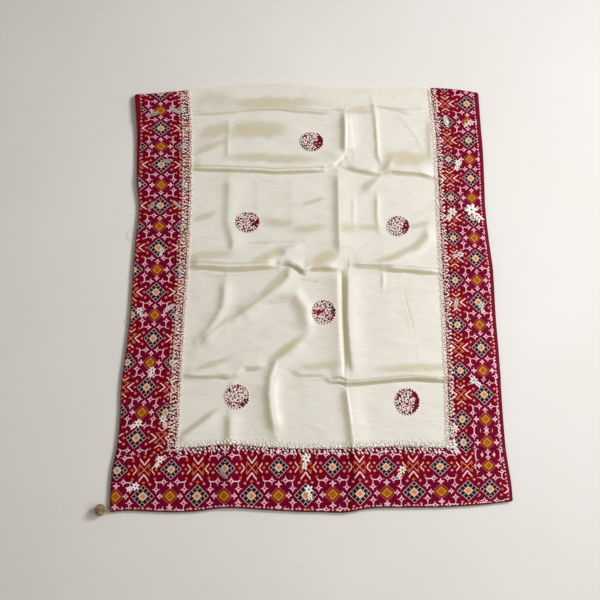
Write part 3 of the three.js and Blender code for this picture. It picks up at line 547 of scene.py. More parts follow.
class Finish:
    """A node material with a Principled shader, and short ways to add to it."""

    def __init__(self, name, roughness, **sockets):
        self.material = bpy.data.materials.new(name)
        self.material.use_nodes = True
        self.tree = self.material.node_tree
        self.shader = self.tree.nodes["Principled BSDF"]
        self.shader.inputs["Roughness"].default_value = roughness
        for key, value in sockets.items():
            self.shader.inputs[key.replace("_", " ")].default_value = value

    def node(self, kind, values=None, links=None, **settings):
        made = self.tree.nodes.new(kind)
        for key, value in settings.items():
            setattr(made, key, value)
        for key, value in (values or {}).items():
            made.inputs[key].default_value = value
        for key, value in (links or {}).items():
            self.tree.links.new(value.socket if isinstance(value, Number) else value, made.inputs[key])
        return made

    def link(self, output, socket):
        source = output.socket if isinstance(output, Number) else output
        self.tree.links.new(source, self.shader.inputs[socket])

    def number(self, socket):
        return Number(self.tree, socket)

    def cloth_mm(self):
        """The two ways along the cloth, in mm, from the UV map."""
        where = self.node("ShaderNodeUVMap", uv_map="cloth")
        parts = self.node("ShaderNodeSeparateXYZ", links={0: where.outputs[0]})
        return self.number(parts.outputs[0]) * 1000, self.number(parts.outputs[1]) * 1000

    def tone(self):
        return self.number(self.node("ShaderNodeAttribute", attribute_name="tone").outputs["Fac"])

    def noise(self, where, scale, detail=2.0, distortion=0.0):
        made = self.node("ShaderNodeTexNoise", {"Scale": scale, "Detail": detail, "Distortion": distortion},
                         {"Vector": where})
        return self.number(made.outputs["Fac"])

    def vector(self, x, y, z=0.0):
        """A vector from numbers."""
        parts = {i: n for i, n in enumerate((x, y, z)) if isinstance(n, Number)}
        rest = {i: n for i, n in enumerate((x, y, z)) if not isinstance(n, Number)}
        return self.node("ShaderNodeCombineXYZ", rest, parts).outputs[0]

    def mixed(self, share, first, second):
        """First where share is 0 and second where it is 1. Each is a colour or a colour output."""
        made = self.node("ShaderNodeMix", data_type="RGBA")
        for slot, value in ((0, share), (6, first), (7, second)):
            if isinstance(value, (tuple, float)):
                made.inputs[slot].default_value = value
            else:
                self.tree.links.new(value.socket if isinstance(value, Number) else value, made.inputs[slot])
        return made.outputs[2]

    def ramped(self, share, low, high):
        """0 to 1 as share goes from low to high."""
        made = self.node("ShaderNodeMapRange", {"From Min": low, "From Max": high}, {"Value": share})
        return self.number(made.outputs[0])

    def bump(self, height, strength, distance, over=None):
        """A bump on the shader's normal, over the one before where that is given."""
        links = {"Height": height} if over is None else {"Height": height, "Normal": over}
        made = self.node("ShaderNodeBump", {"Strength": strength, "Distance": distance}, links)
        self.link(made.outputs[0], "Normal")
        return made.outputs[0]


REPEAT = 75  # half the print's repeat, both ways
PIXEL = 1.5  # the print's steps, as in a pattern woven by counted threads
THREAD = 0.55  # from one thread of the weave to the next
GROUND, GROUND_RED, DULL = rgb(117, 0, 41), rgb(122, 0, 16), rgb(64, 0, 12)
WHITE, PINK, DARK, CREAM = rgb(255, 204, 210), rgb(236, 142, 130), rgb(22, 32, 24), rgb(228, 198, 156)
CORAL, GOLD, BROWN, ORANGE = rgb(220, 132, 84), rgb(212, 132, 36), rgb(76, 16, 4), rgb(218, 116, 74)
PLAIN = rgb(122, 8, 34)


def weave(finish, p, q, strength, over=None):
    """Over-and-under of the threads as a bump: two crossed waves a thread apart, and uneven slubs."""
    warp = (p * (np.pi / THREAD)).math("SINE")
    weft = (q * (np.pi / THREAD)).math("SINE")
    slub = finish.noise(finish.vector(p * 0.02, q * 1.3), 1.0, 3.0)
    finish.bump(warp * weft * 0.35 + slub, strength, 0.0004, over)


def checked_diamond(a, b, reach):
    """Masks of a diamond: whole, twelve dark cells in a ring, pale middle and core, by s = |a| + |b|."""
    s, t = a + b, abs(a - b)
    half = reach / 2
    line = (t < 0.8) | (abs(t - half) < 0.8)
    cells = (s < reach - 1.6) & (s > half - 1.8) & line.outside()
    return s < reach, cells, s < half - 3, s < reach * 0.24


def flower(a, b, reach):
    """A small square flower: a ring round a dark middle, and a bud at each point."""
    s = a + b
    ring = (s < reach) & (s > reach * 0.44)
    return ring | ((s < reach * 1.4) & (s > reach) & ((a < 1.2) | (b < 1.2)))


def print_silk():
    """The border print: a mirrored cell, a and b from its corner, with a star, two checked diamonds, a gold
    diamond, branches and flowers."""
    finish = Finish("printed silk", 0.5, Specular_IOR_Level=0.04, Metallic=0.12)
    p, q = finish.cloth_mm()
    shift = finish.noise(finish.vector(p * 0.11, q * 0.11), 1.0, 2.0) * 3.0 - 1.5
    a = (p + shift).math("PINGPONG", REPEAT).math("SNAP", PIXEL) + PIXEL / 2
    b = (q - shift).math("PINGPONG", REPEAT).math("SNAP", PIXEL) + PIXEL / 2
    far_a, far_b = (a - REPEAT) * -1.0, (b - REPEAT) * -1.0
    cloud = finish.noise(finish.vector(p * 0.025, q * 0.025), 1.0, 3.0)
    warmth = cloud * 160 - (a * 0.8 + b)
    colour = finish.mixed(finish.ramped(warmth, 10, 50), GROUND, GROUND_RED)

    def paint(mask, ink):
        nonlocal colour
        colour = finish.mixed(mask, colour, ink)

    # the star: a thin cross, two wide chevrons, four short strokes and the dots round them
    paint((abs(b - a * 1.15) < 1.8) & (a < 15), PINK)
    paint((abs(b - a * 1.3 - 14) < 3.2) & (a < 13), WHITE)
    paint((abs(b - (a - 23) * 1.2 - 4.5) < 2.6) & (a > 21.5) & (a < 30), WHITE)
    paint((abs(b - (a - 10) * 1.2 - 4) < 2.2) & (a > 12) & (a < 17), GOLD)
    for far, out, reach in ((17.5, 0, 4.0), (34, 0, 4.3), (0, 37, 4.3), (31, 26, 4.3)):
        paint((abs(a - far) + abs(b - out)) < reach, ORANGE)
    paint(((abs(a - 42) + abs(b - 11)) < 4.2) | ((abs(a - 18) + abs(b - 41)) < 4.4), PINK)
    paint((a + b) < 4.5, GOLD)
    # the branch, its stub and its two flowers
    stem = ((abs(a - 37) < 1.2) & (b > 35) & (b < 50)) | ((abs(b - 36) < 1.2) & (a > 36) & (a < 50))
    stub = (abs(a - b) < 1.6) & (a > 31) & (a < 37)
    paint(stem | stub | flower(abs(a - 36), abs(b - 56), 8) | flower(abs(a - 56), abs(b - 35), 8), WHITE)
    paint(flower(far_a, abs(b - 45), 6.6) | flower(abs(a - 47), far_b, 6.6), WHITE)
    # the gold diamond in its ring of dots
    s = far_a + far_b
    dots = ((far_a * 0.33).math("FRACT") > 0.5) & ((far_b * 0.33).math("FRACT") > 0.5)
    paint((s > 18) & (s < 26) & dots, ORANGE)
    paint(s < 19, BROWN)
    paint((s < 16.5) & (s > 7.5), GOLD)
    paint((s < 5) & (s > 2), GOLD)
    # the checked diamonds
    for whole, cells, middle, core in (checked_diamond(far_a, b, 29), checked_diamond(a, far_b, 32)):
        paint(whole, WHITE)
        paint(cells, DARK)
        paint(middle, CREAM)
        paint(core, CORAL)
    # the plain margin, and white dashes just inside it
    margin = finish.tone()
    paint((margin > 1.5) & (margin < 4.5) & ((p * 0.09).math("FRACT") < 0.4), WHITE)
    paint(margin < 0.0, PLAIN)

    fade = finish.noise(finish.vector(p * 0.5, q * 0.06), 1.0, 3.0)
    colour = finish.mixed(finish.ramped(fade, 0.5, 1.2), colour, DULL)
    finish.link(colour, "Base Color")
    weave(finish, p, q, 0.35)
    return finish.material


def field_silk():
    """Cream silk with painted shade: as tone rises, beige and then khaki shade show, in long uneven streaks;
    a faint cloud adds a little khaki at random. A bump gives soft ripples along the weft."""
    finish = Finish("cream shot silk", 0.52, Sheen_Weight=0.12, Sheen_Roughness=0.4, Specular_IOR_Level=0.2,
                    Metallic=0.08)
    u, v = finish.cloth_mm()
    streak = finish.noise(finish.vector(u * 0.02, v * 0.22), 1.0, 4.0)
    cloud = finish.noise(finish.vector(u * 0.012, v * 0.02), 1.0, 3.0)
    streaky = finish.tone() + streak * 0.5 - 0.25
    khaki = finish.ramped(streaky, 0.0, 1.1) + finish.ramped(cloud, 0.5, 0.9) * 0.2
    # Painted shade: beige, then khaki, as the tone rises.
    beige = finish.mixed(finish.ramped(khaki, 0.0, 0.4), rgb(237, 232, 220), rgb(219, 209, 190))
    finish.link(finish.mixed(finish.ramped(khaki, 0.35, 1.0), beige, rgb(213, 202, 166)), "Base Color")
    ripple = finish.noise(finish.vector(u * 0.01, v * 0.03), 1.0, 1.0, 0.4)
    weave(finish, u, v, 0.2, finish.bump(ripple, 0.45, 0.006))
    return finish.material


def thread(name, pale, deep, roughness):
    """Sewing thread: tone picks the colour, with fine twist as a bump; deep on dark beads is painted shade.
    """
    finish = Finish(name, roughness, Sheen_Weight=0.2, Specular_IOR_Level=0.25)
    finish.link(finish.mixed(finish.tone(), pale, deep), "Base Color")
    place = finish.node("ShaderNodeTexCoord").outputs["Object"]
    twist = finish.noise(place, 2600.0, 1.0)
    finish.bump(twist, 0.25, 0.0003)
    return finish.material


def rolled_edge():
    """Dark rolled silk edge with a slanting wrap of thread."""
    finish = Finish("rolled edge", 0.5, Sheen_Weight=0.2)
    place = finish.node("ShaderNodeTexCoord").outputs["Object"]
    wrap = finish.noise(place, 900.0, 2.0)
    finish.link(finish.mixed(wrap, rgb(60, 8, 22), rgb(112, 16, 40)), "Base Color")
    finish.bump(wrap, 0.5, 0.0005)
    return finish.material


PRINT, SILK_CREAM, ROLLED = print_silk(), field_silk(), rolled_edge()
IVORY = thread("ivory thread", rgb(254, 246, 238), rgb(96, 74, 52), 0.5)
BRONZE = thread("bronze thread", rgb(255, 240, 226), rgb(124, 30, 26), 0.5)
BLUSH = thread("blush thread", rgb(255, 236, 228), rgb(70, 4, 14), 0.5)
BALL_BEADS = thread("ball beads", rgb(196, 168, 124), rgb(104, 84, 58), 0.32)

# ---- where the print falls on each border ----

# Going up a side border: how far through the print p the cloth is at y, then at line_y the lines of its two
# rows of motifs.
PRINT_LEFT = {
    "y": [-463, -172, 112, 391, 583], "p": [0, 300, 600, 900, 1125],
    "line_y": [-463, -347, -165, 120, 327, 593],
    "outer": [-495, -476, -462, -462, -464, -480], "inner": [-425, -409, -396, -388, -391, -406],
}
PRINT_RIGHT = {
    "y": [-604, -540, -510, -476, -442, -410, -339, -200, 77, 344, 608],
    "p": [0, 75, 112, 75, 42, 75, 150, 300, 600, 900, 1200],
    "line_y": [-604, -285, 245, 620], "outer": [506, 508, 511, 516], "inner": [438, 441, 446, 446],
}
HEM_STAR, HEM_PITCH = -467, 152  # along the hem, a star's place and the way from one star to the next
HEM_ROWS = {"x": [-474, -27, 438], "upper": [-552, -544, -542], "lower": [-624, -621, -608]}
CORNER_PIECE = 476  # right of this the near right corner carries the side border's print
CORNER_TOP = 146  # above this the near left corner does too


def side_print(table, x, y):
    """Print place (p, q) on a side border: q is 0 on the inner line of motifs and REPEAT on the outer one."""
    inner, outer = (straight(table["line_y"], table[k], y) for k in ("inner", "outer"))
    return np.stack([straight(table["y"], table["p"], y), REPEAT * (inner - x) / (inner - outer)], axis=-1)


def hem_print(x, y):
    """Print place on the pallu border: q is 0 on the upper line of motifs and REPEAT on the lower one."""
    upper, lower = (straight(HEM_ROWS["x"], HEM_ROWS[k], x) for k in ("upper", "lower"))
    along = 2 * REPEAT * (x - HEM_STAR) / HEM_PITCH
    return np.stack([along, REPEAT * (upper - y) / (upper - lower)], axis=-1)


def left_uv(corners, _):
    return side_print(PRINT_LEFT, *lie(corners[..., 0], corners[..., 1]))


def right_uv(corners, _):
    return side_print(PRINT_RIGHT, *lie(corners[..., 0], corners[..., 1]))


def pallu_uv(corners, centre):
    x, y = lie(corners[..., 0], corners[..., 1])
    place = np.where(centre[..., :1] > CORNER_PIECE, side_print(PRINT_RIGHT, x, y), hem_print(x, y))
    over_corner = (centre[..., :1] < LEFT_SEAM) & (centre[..., 1:] > CORNER_TOP)
    return np.where(over_corner, side_print(PRINT_LEFT, x, y), place)


def field_uv(corners, _):
    return corners


NO_DASHES = 20.0  # a margin past the reach of the dashes
HEM_MARGIN = 1.5


def left_margin(u, v, _):
    """How far in from the plain margin that widens up the left edge, past the reach of any dashes."""
    inside = u + HALF_WIDTH - np.interp(v, [900, 1010, 1330], [0, 6, 17])
    return np.where(inside > 0, inside + NO_DASHES, inside)


# Patches of painted shade, khaki on the field: centre, half length, half width, turn in degrees and share.
PAINTED_SHADES = [
    (-113, 612, 122, 17, 0, 0.85), (-308, 507, 44, 20, 20, 0.8), (-169, 514, 86, 25, 2, 0.95),
    (-120, 412, 128, 14, -2, 0.8), (-315, 452, 52, 9, 27, 0.8), (160, 580, 50, 12, 0, 0.5),
    (310, 412, 66, 22, 2, 0.9), (245, 388, 26, 9, 50, 0.8), (-98, 194, 48, 13, -5, 0.7),
    (0, 174, 48, 12, 8, 0.75), (10, 264, 32, 7, 20, 0.7), (122, 176, 22, 16, 0, 0.6),
    (185, 178, 34, 10, 0, 0.6), (-122, 87, 46, 12, 28, 1), (45, 76, 34, 18, 25, 1),
    (240, 74, 34, 9, 10, 0.8), (290, 98, 38, 9, 28, 0.8), (342, 130, 30, 12, 50, 0.8),
    (340, 187, 34, 8, 10, 0.7), (310, -262, 100, 11, 2, 0.8), (30, -256, 56, 10, 4, 0.7),
    (-285, -250, 50, 8, 18, 0.8), (-66, -205, 56, 12, 38, 1), (-328, -426, 66, 7, 37, 1),
    (-106, -5, 60, 11, 47, 0.85), (-190, -85, 60, 6, 35, 0.7), (-300, 86, 60, 14, 5, 0.75),
    (-325, 213, 32, 8, 25, 0.8), (190, 322, 32, 10, 40, 0.6), (-310, 620, 60, 30, 0, 0.4),
    (97, -111, 160, 5, 92.3, 0.6),
]


def painted_shade(u, v, normal):
    """Share of painted khaki shade at each point: more on slopes turned left and towards the hem, away
    from the key light, and in the patches of painted shade.
    """
    x, y = lie(u, v)
    # Painted shade: khaki on slopes turned away from the key light.
    share = np.clip(-(normal[:, 0] * 0.8 + normal[:, 1] * 0.6) * 2.4, 0, 0.9)
    for cx, cy, long, wide, degrees, most in PAINTED_SHADES:
        turn = np.radians(degrees)
        dx, dy = x - cx, y - cy + wide * 0.2 * np.sin(x / 13 + cy) * np.sin(x / 31)
        a, b = dx * np.cos(turn) + dy * np.sin(turn), dy * np.cos(turn) - dx * np.sin(turn)
        patch = most * np.exp(-np.abs(a / long) ** 3 - np.abs(b / wide) ** 2.4)
        share = share + patch * (1 - share)
    return share


def right_margin(u, v, _):
    """How far in from the plain margin of the right edge."""
    return HALF_WIDTH - u - np.interp(v, [0, 300, 900, 1330], [5, 7, 8, 11])


def pallu_margin(u, v, normal):
    """How far in from the hem's narrow margin or the right edge's, whichever is nearer."""
    return np.minimum(v - HEM_MARGIN, right_margin(u, v, normal))


# ---- cloth pieces ----

ROLL_END = SHOWN_LENGTH - FOLD_RADIUS + FOLD_TURN * FOLD_RADIUS
FAR_ROLL = np.linspace(ROLL_START, ROLL_END, 7)

# The field's mesh: its widest and narrowest cells, and the fold lines it is crowded on, with their reach.
FIELD_CELLS = 5, 2.2
LINES_UP = (355, 22), (706, 26), (1030, 24), (1240, 22)
LINES_ACROSS = (-252, 8), (100, 8), (112, 8)

over_seam = PALLU_BORDER + SEAM_GAP
field_across = crowded(LEFT_SEAM + SEAM_GAP, RIGHT_SEAM - SEAM_GAP, *FIELD_CELLS, *LINES_ACROSS)
field_up = crowded(over_seam, ROLL_START, *FIELD_CELLS, *LINES_UP)
border_up = np.r_[stations(over_seam, ROLL_START, CELL)[:-1], FAR_ROLL]
field = cloth_panel("field_cloth", field_across, np.r_[field_up[:-1], FAR_ROLL], SILK_CREAM,
                    field_uv, painted_shade)
left = cloth_panel("border_left_cloth", stations(-HALF_WIDTH, LEFT_SEAM - SEAM_GAP, PRINT_CELL), border_up,
                   PRINT, left_uv, left_margin)
right = cloth_panel("border_right_cloth", stations(RIGHT_SEAM + SEAM_GAP, HALF_WIDTH, PRINT_CELL), border_up,
                    PRINT, right_uv, right_margin)
pallu = cloth_panel("border_pallu_cloth", stations(-HALF_WIDTH, HALF_WIDTH, CELL, CORNER_PIECE),
                    stations(0, PALLU_BORDER - SEAM_GAP, PRINT_CELL), PRINT, pallu_uv,
                    pallu_margin)
for piece, node in ((field, "field"), (left, "border_left"), (right, "border_right"),
                    (pallu, "border_pallu")):
    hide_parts(node)

# The ribbon of hidden cloth: thickness, height of its top run, its ends along y, stations along a run, how
# far each run's edges stand in from the visible cloth's, and the wander of those edges.
RIBBON = {"thick": 0.9, "top": 4.35, "near": 8, "far": SHOWN_LENGTH - 7.5, "stations": 46,
          "insets": [4.5, 5.5, 8.0], "wander": 1.4}


def hidden_cloth():
    """The stretches under the one that shows, one ribbon: runs back and forth with a half turn between.

    Along the ribbon the height falls from run to run; across it the flat u is drawn in by the run's inset."""
    radius = LAYER / 2
    half_turn = np.linspace(0, np.pi, 7)[1:-1]
    near, far, count = RIBBON["near"], RIBBON["far"], RIBBON["stations"]
    runs = np.linspace(far, near, count)
    levels = [RIBBON["top"] - k * LAYER for k in range(3)]

    def bend(end, way, level):
        fall = level - radius + radius * np.cos(half_turn)
        return np.stack([end + way * radius * np.sin(half_turn), fall], 1)

    v, z = np.concatenate([
        np.stack([runs, np.full(count, levels[0])], 1),
        bend(near, -1, levels[0]),
        np.stack([runs[::-1], np.full(count, levels[1])], 1),
        bend(far, 1, levels[1]),
        np.stack([runs[:-1], np.full(count - 1, levels[2])], 1),
    ]).T
    step = np.hypot(np.gradient(v), np.gradient(z))
    length = np.cumsum(step)
    inset = np.interp(z, levels[::-1], RIBBON["insets"][::-1])
    us = stations(-1, 1, 0.036, LEFT_SEAM / HALF_WIDTH, RIGHT_SEAM / HALF_WIDTH)
    across = us[None] * (HALF_WIDTH - inset[:, None])
    along = np.broadcast_to(v[:, None], across.shape)
    x, y = lie(across, along)
    wander = RIBBON["wander"] * np.sin(length / 90)[:, None] * np.abs(us[None]) ** 8
    normal_v, normal_z = -np.gradient(z) / step, np.gradient(v) / step
    sides = []
    for off in (-RIBBON["thick"] / 2, RIBBON["thick"] / 2):
        sides.append(np.stack([x + wander, y + off * normal_v[:, None],
                               np.broadcast_to((z + off * normal_z)[:, None], x.shape)], -1))
    points = np.concatenate([s.reshape(-1, 3) for s in sides])
    points[:, 2] = np.maximum(points[:, 2], 0.0)
    faces = two_sided(len(us), len(v))
    flat_uv = np.stack([np.tile(across.ravel(), 2), np.tile(np.repeat(length, len(us)), 2)], axis=-1)
    centre = flat_uv[faces].mean(axis=1)[:, 0] / HALF_WIDTH
    on_border = (centre < LEFT_SEAM / HALF_WIDTH) | (centre > RIGHT_SEAM / HALF_WIDTH)
    obj = make("hidden_cloth", points, faces, SILK_CREAM, flat_uv[faces] * MM)
    obj.data.materials.append(PRINT)
    obj.data.polygons.foreach_set("material_index", on_border.astype(np.int32))
    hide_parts("folded_layers")
    return obj


hidden = hidden_cloth()


ROLL_OUT, ROLL_RADIUS, ROLL_UNEVEN = 1.3, 1.35, 0.12


def edge_roll(name, node, u, v, outward):
    """A thin rolled edge just outside the cloth's edge, at the middle of its thickness."""
    point = on_cloth(u, v) + np.array([outward[0] * ROLL_OUT, outward[1] * ROLL_OUT, (TOP + UNDERSIDE) / 2])
    uneven = ROLL_RADIUS + ROLL_UNEVEN * np.sin(np.arange(len(point)) * 1.7)
    points, faces = tube(point, uneven, 8)
    obj = make(name, points, faces, ROLLED)
    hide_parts(node)
    return obj


edge_v = stations(0, ROLL_START - 2, 5)
edge_u = stations(-HALF_WIDTH, HALF_WIDTH, 5)
rolls = [
    edge_roll("edge_left", "piping_left", np.full(len(edge_v), -HALF_WIDTH), edge_v, (-1, 0)),
    edge_roll("edge_right", "piping_right", np.full(len(edge_v), HALF_WIDTH), edge_v, (1, 0)),
    edge_roll("edge_hem", "piping_hem", edge_u, np.zeros(len(edge_u)), (0, -1)),
]


# ---- worked edging, discs and sprays ----

def jitter(count, spread):
    return RANDOM.uniform(-spread, spread, count)


# Rows of the edging: the shape, how far its row lies into the field (less than 0 is over the border), the
# pitch, how it leans in degrees from straight into the field, its size, and its lowest and highest tone.
# Beads with a tone near 1 take the deep colour: dark specks of painted shade between the petals.
SIDE_ROWS = [
    (PETAL, -13.5, 15, 150, (9.6, 5.0, 2.3), 0.0, 0.1), (PETAL, -9.0, 12, 215, (9.8, 5.0, 2.3), 0.0, 0.1),
    (PETAL, -4.0, 10.0, 140, (9.4, 4.6, 2.2), 0.0, 0.1), (PETAL, -1.0, 9.0, 30, (9.0, 4.4, 2.0), 0.0, 0.12),
    (PETAL, 4.0, 9.0, -50, (7.4, 4.0, 1.9), 0.0, 0.15), (BEAD, -11.5, 11.0, 0, (4.2, 4.2, 2.4), 0.9, 1.0),
    (BEAD, -6.5, 9.5, 0, (4.2, 4.2, 2.4), 0.9, 1.0), (BEAD, -0.5, 7.5, 0, (4.4, 4.4, 2.3), 0.0, 0.1),
    (BEAD, 3.0, 9.0, 0, (3.6, 3.6, 2.2), 0.8, 1.0), (BEAD, 7.0, 14.0, 0, (3.0, 3.0, 1.8), 0.1, 0.4),
]
FAR_ROWS = [
    (PETAL, -18.5, 9.0, 160, (7.4, 3.8, 2.0), 0.0, 0.3), (PETAL, -24.0, 11.5, 30, (7.0, 3.6, 1.9), 0.0, 0.4),
    (PETAL, -30.0, 16.0, 120, (6.4, 3.2, 1.8), 0.0, 0.4), (BEAD, -17.0, 12.0, 0, (3.2, 3.2, 2.2), 0.8, 1.0),
]
PALLU_ROWS = [
    (PETAL, -11.5, 14, 222, (9.6, 4.8, 2.3), 0.0, 0.08), (PETAL, -4.0, 12, 215, (9.6, 4.8, 2.3), 0.0, 0.08),
    (PETAL, -0.5, 8.5, 100, (6.4, 3.2, 1.8), 0.0, 0.2), (PETAL, 3.5, 12.5, 84, (8.0, 5.2, 2.4), 0.0, 0.05),
    (BEAD, -3.0, 10, 0, (3.0, 3.0, 2.0), 0.7, 1.0), (BEAD, 3.0, 9, 0, (2.8, 2.8, 1.9), 0.4, 1.0),
]
FAN_PITCH = 21.0
FAN_TURNS = np.radians([-70, -36, 0, 36, 70])

# Arcs of a fan: the shape, how far it spreads along the seam, its reach into the field at the sides and
# what the middle adds to that, a shift and 1 where the shapes turn with the fan, their size, lowest and
# highest tone, and how far they stray along the seam.
FAN_ARCS = [
    (PETAL, 9.5, 5, 4.5, 0.0, 1, (7.0, 3.4, 1.9), 0.0, 0.12, 1.2),
    (PETAL, 15, 6, 10, 0.2, 1, (5.4, 2.8, 1.6), 0.0, 0.15, 1.6),
    (BEAD, 13, 5, 8, 0.0, 0, (2.6, 2.6, 1.8), 0.2, 0.6, 1.6),
]


def edging(name, node, low, high, place, inward, rows, fan_depth, shade, thread_used):
    """Worked edging along a seam from low to high: the rows, and a fan over the field at each pitch, with the
    given share of the full depth and as dark as shade says. place gives (u, v) for a run along the seam and a
    reach into the field, and inward is the field's way from the seam."""
    parts = []

    def row(shape, run, reach, turn, size, tones, spread):
        count = len(run)
        u, v = place(run + jitter(count, spread), reach + jitter(count, 1.2))
        scale = np.array(size) * (1 + jitter(count, 0.2))[:, None]
        lean = inward + turn + jitter(count, 0.35)
        parts.append(sewn(shape, u, v, lean, scale, 0, RANDOM.uniform(*tones, count)))

    for shape, reach, pitch, lean, size, *tones in rows:
        row(shape, np.arange(low, high, pitch), reach, np.radians(lean), size, tones, pitch * 0.2)
    fans = np.arange(low + FAN_PITCH / 2, high, FAN_PITCH)
    for turn in FAN_TURNS:
        for shape, wide, side, middle, shift, turned, size, palest, deepest, stray in FAN_ARCS:
            row(shape, fans + wide * np.sin(turn + shift), (side + middle * np.cos(turn)) * fan_depth,
                turn * turned, size, (palest * shade, deepest * shade), stray)
    points, faces, tones = joined(parts)
    obj = make(name, points, faces, thread_used, tone=tones)
    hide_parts(node)
    return obj


left_edging = edging("edging_left", "trim_left", PALLU_BORDER - 6, SHOWN_LENGTH - 8,
                     lambda run, reach: (LEFT_SEAM + reach, run), 0.0, SIDE_ROWS + FAR_ROWS, 0.5, 1.6, BRONZE)
right_edging = edging("edging_right", "trim_right", PALLU_BORDER - 6, SHOWN_LENGTH - 8,
                      lambda run, reach: (RIGHT_SEAM - reach, run), np.pi, SIDE_ROWS, 0.5, 1.6, BRONZE)
pallu_edging = edging("edging_pallu", "trim_pallu", LEFT_SEAM + 12, RIGHT_SEAM - 12,
                      lambda run, reach: (run, PALLU_BORDER + reach), np.pi / 2, PALLU_ROWS, 1, 1, IVORY)

# Discs: centre, size both ways, where the print falls on each, 1 where it is cut from the plain ground,
# how far out the work reaches towards its bare side, and that side's way in degrees.
DISCS = [
    (11, 472, 76, 68, (30, 62), 1, 0.68, 0), (-189, 196, 76, 68, (32, 20), 1, 0.7, 5),
    (278, 183, 70, 66, (105, 48), 1, 0.66, -15), (45, -92, 72, 75, (39, -20), 0, 0.76, -25),
    (-209, -345, 72, 72, (49, -4), 0, 0.76, -35), (284, -359, 72, 78, (26, 60), 1, 0.68, 5),
]
DISC_LIFT = 0.9


def disc(number, x, y, across, along, print_at, plain, *_):
    """A round of print laid on the field: rings of points out to the oval, at shares of its radius and at the
    heights in out, which fall away near the edge."""
    shares, around = np.array([0.0, 0.3, 0.55, 0.75, 0.9, 0.98, 1.0, 1.0]), 48
    turn = np.arange(around) * 2 * np.pi / around
    flat_x = x + np.outer(shares, np.cos(turn)) * across / 2
    flat_y = y + np.outer(shares, np.sin(turn)) * along / 2
    u, v = flat(flat_x, flat_y)
    out = np.array([*[DISC_LIFT] * 4, DISC_LIFT * 0.95, DISC_LIFT * 0.7, 0.3, 0.05])
    point = off_cloth(u, v, TOP + out[:, None, None])
    under = off_cloth(u[-2:-1], v[-2:-1], TOP + 0.02).reshape(-1, 3)
    rings = point[1:].reshape(-1, 3)
    points = np.concatenate([rings, point[0, :1], under.mean(axis=0, keepdims=True)])
    k = np.arange(around)
    after = (k + 1) % around
    row = np.arange(len(shares) - 2)[:, None] * around
    a, b = (row + k).ravel(), (row + after).ravel()
    last = (len(shares) - 2) * around
    faces = np.concatenate([
        np.stack([a, a + around, b + around], 1), np.stack([a, b + around, b], 1),
        np.stack([k, after, np.full(around, len(rings))], 1),
        np.stack([last + after, last + k, np.full(around, len(rings) + 1)], 1)])
    uv = (points[faces][..., :2] - [x, y] + print_at) * MM
    margin = np.full(len(points), -1.0 if plain else NO_DASHES)
    obj = make(f"disc_cloth_{number}", points, faces, PRINT, uv, margin)
    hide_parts(f"disc_{number}")
    return obj


def disc_work(number, x, y, across, along, _at, _plain, bare, way):
    """Thread over a disc: rosettes at turns of the golden angle but for a bare crescent, small petals and
    dark beads between them as painted shade, and a rim of pale beads and dark ones, painted shade too."""
    parts = []

    def row(shape, radius, turn, heading, size, tone, shift=0.0, lift=0.0):
        u, v = flat(x + radius * np.cos(turn) * across / 2 + shift * np.cos(heading),
                    y + radius * np.sin(turn) * along / 2 + shift * np.sin(heading))
        parts.append(sewn(shape, u, v, heading, size, DISC_LIFT * 0.85 + lift, tone))

    def spiral(count, reach, more):
        k = np.arange(count) + 0.5
        radius, turn = reach * np.sqrt(k / count), k * np.pi * (3 - np.sqrt(5)) + number
        towards = radius * np.cos(turn - np.radians(way))
        kept = towards < bare - 0.22 + more + 0.16 * np.sin(5 * turn + 2.2 * number)
        return radius[kept], turn[kept]

    radius, turn = spiral(19, 0.86, 0.0)
    count = len(turn)
    spin = RANDOM.uniform(0, 2 * np.pi, count)
    for petal in range(5):
        size = np.array([8.4, 5.0, 1.3]) * (1 + jitter(count, 0.2))[:, None]
        row(PETAL, radius, turn, spin + petal * 2 * np.pi / 5 + jitter(count, 0.3), size,
            RANDOM.uniform(0, 0.08, count), 1.4)
    radius, turn = spiral(30, 0.92, 0.08)
    count = len(turn)
    row(PETAL, radius, turn + 0.15, RANDOM.uniform(0, 6.3, count), (6.4, 3.6, 1.3),
        RANDOM.uniform(0, 0.12, count))
    # Dark beads between the rosettes: painted shade.
    radius, turn = spiral(22, 0.84, 0.1)
    count = len(turn)
    row(BEAD, radius, turn + 0.4, 0.0, (5.2, 5.2, 2.6), RANDOM.uniform(0.9, 1, count), lift=0.4)
    beads = 26
    rim = np.arange(beads) * 2 * np.pi / beads
    row(BEAD, 0.97 + jitter(beads, 0.02), rim + jitter(beads, 0.05), 0.0, (5.4, 5.4, 1.8),
        RANDOM.uniform(0, 0.05, beads))
    # Dark beads between the rim's pale ones: painted shade.
    row(BEAD, 0.93, rim + np.pi / beads, 0.0, (3.4, 3.4, 1.6), RANDOM.uniform(0.85, 1, beads))
    points, faces, tones = joined(parts)
    return make(f"disc_work_{number}", points, faces, BLUSH, tone=tones)


discs = [disc(i + 1, *row) for i, row in enumerate(DISCS)]
disc_threads = [disc_work(i + 1, *row) for i, row in enumerate(DISCS)]

# Loose threads at the left edge: where each leaves the edge, lies furthest out on the floor, and comes back.
LOOSE_THREADS = [((-546, 176), (-565, 160), (-553, 136)), ((-541, -104), (-554, -118), (-543, -134))]
LOOSE_RADIUS = 0.25


def loose_threads():
    """Loops of thread from the edge out over the floor and back: each straight from its first point to its
    last, plus a power of a sine out to the middle one."""
    parts = []
    t = np.linspace(0, 1, 15)[:, None]
    for start, far, back in (np.array(row, float) for row in LOOSE_THREADS):
        way = start + (back - start) * t + (far - (start + back) / 2) * np.sin(np.pi * t) ** 0.8
        height = 0.5 + 2.2 * (1 - np.sin(np.pi * t)) ** 3
        parts.append((*tube(np.hstack([way, height]), LOOSE_RADIUS, 6), 0.8))
    points, faces, tones = joined(parts)
    return make("edge_threads", points, faces, IVORY, tone=tones)


edge_threads = loose_threads()
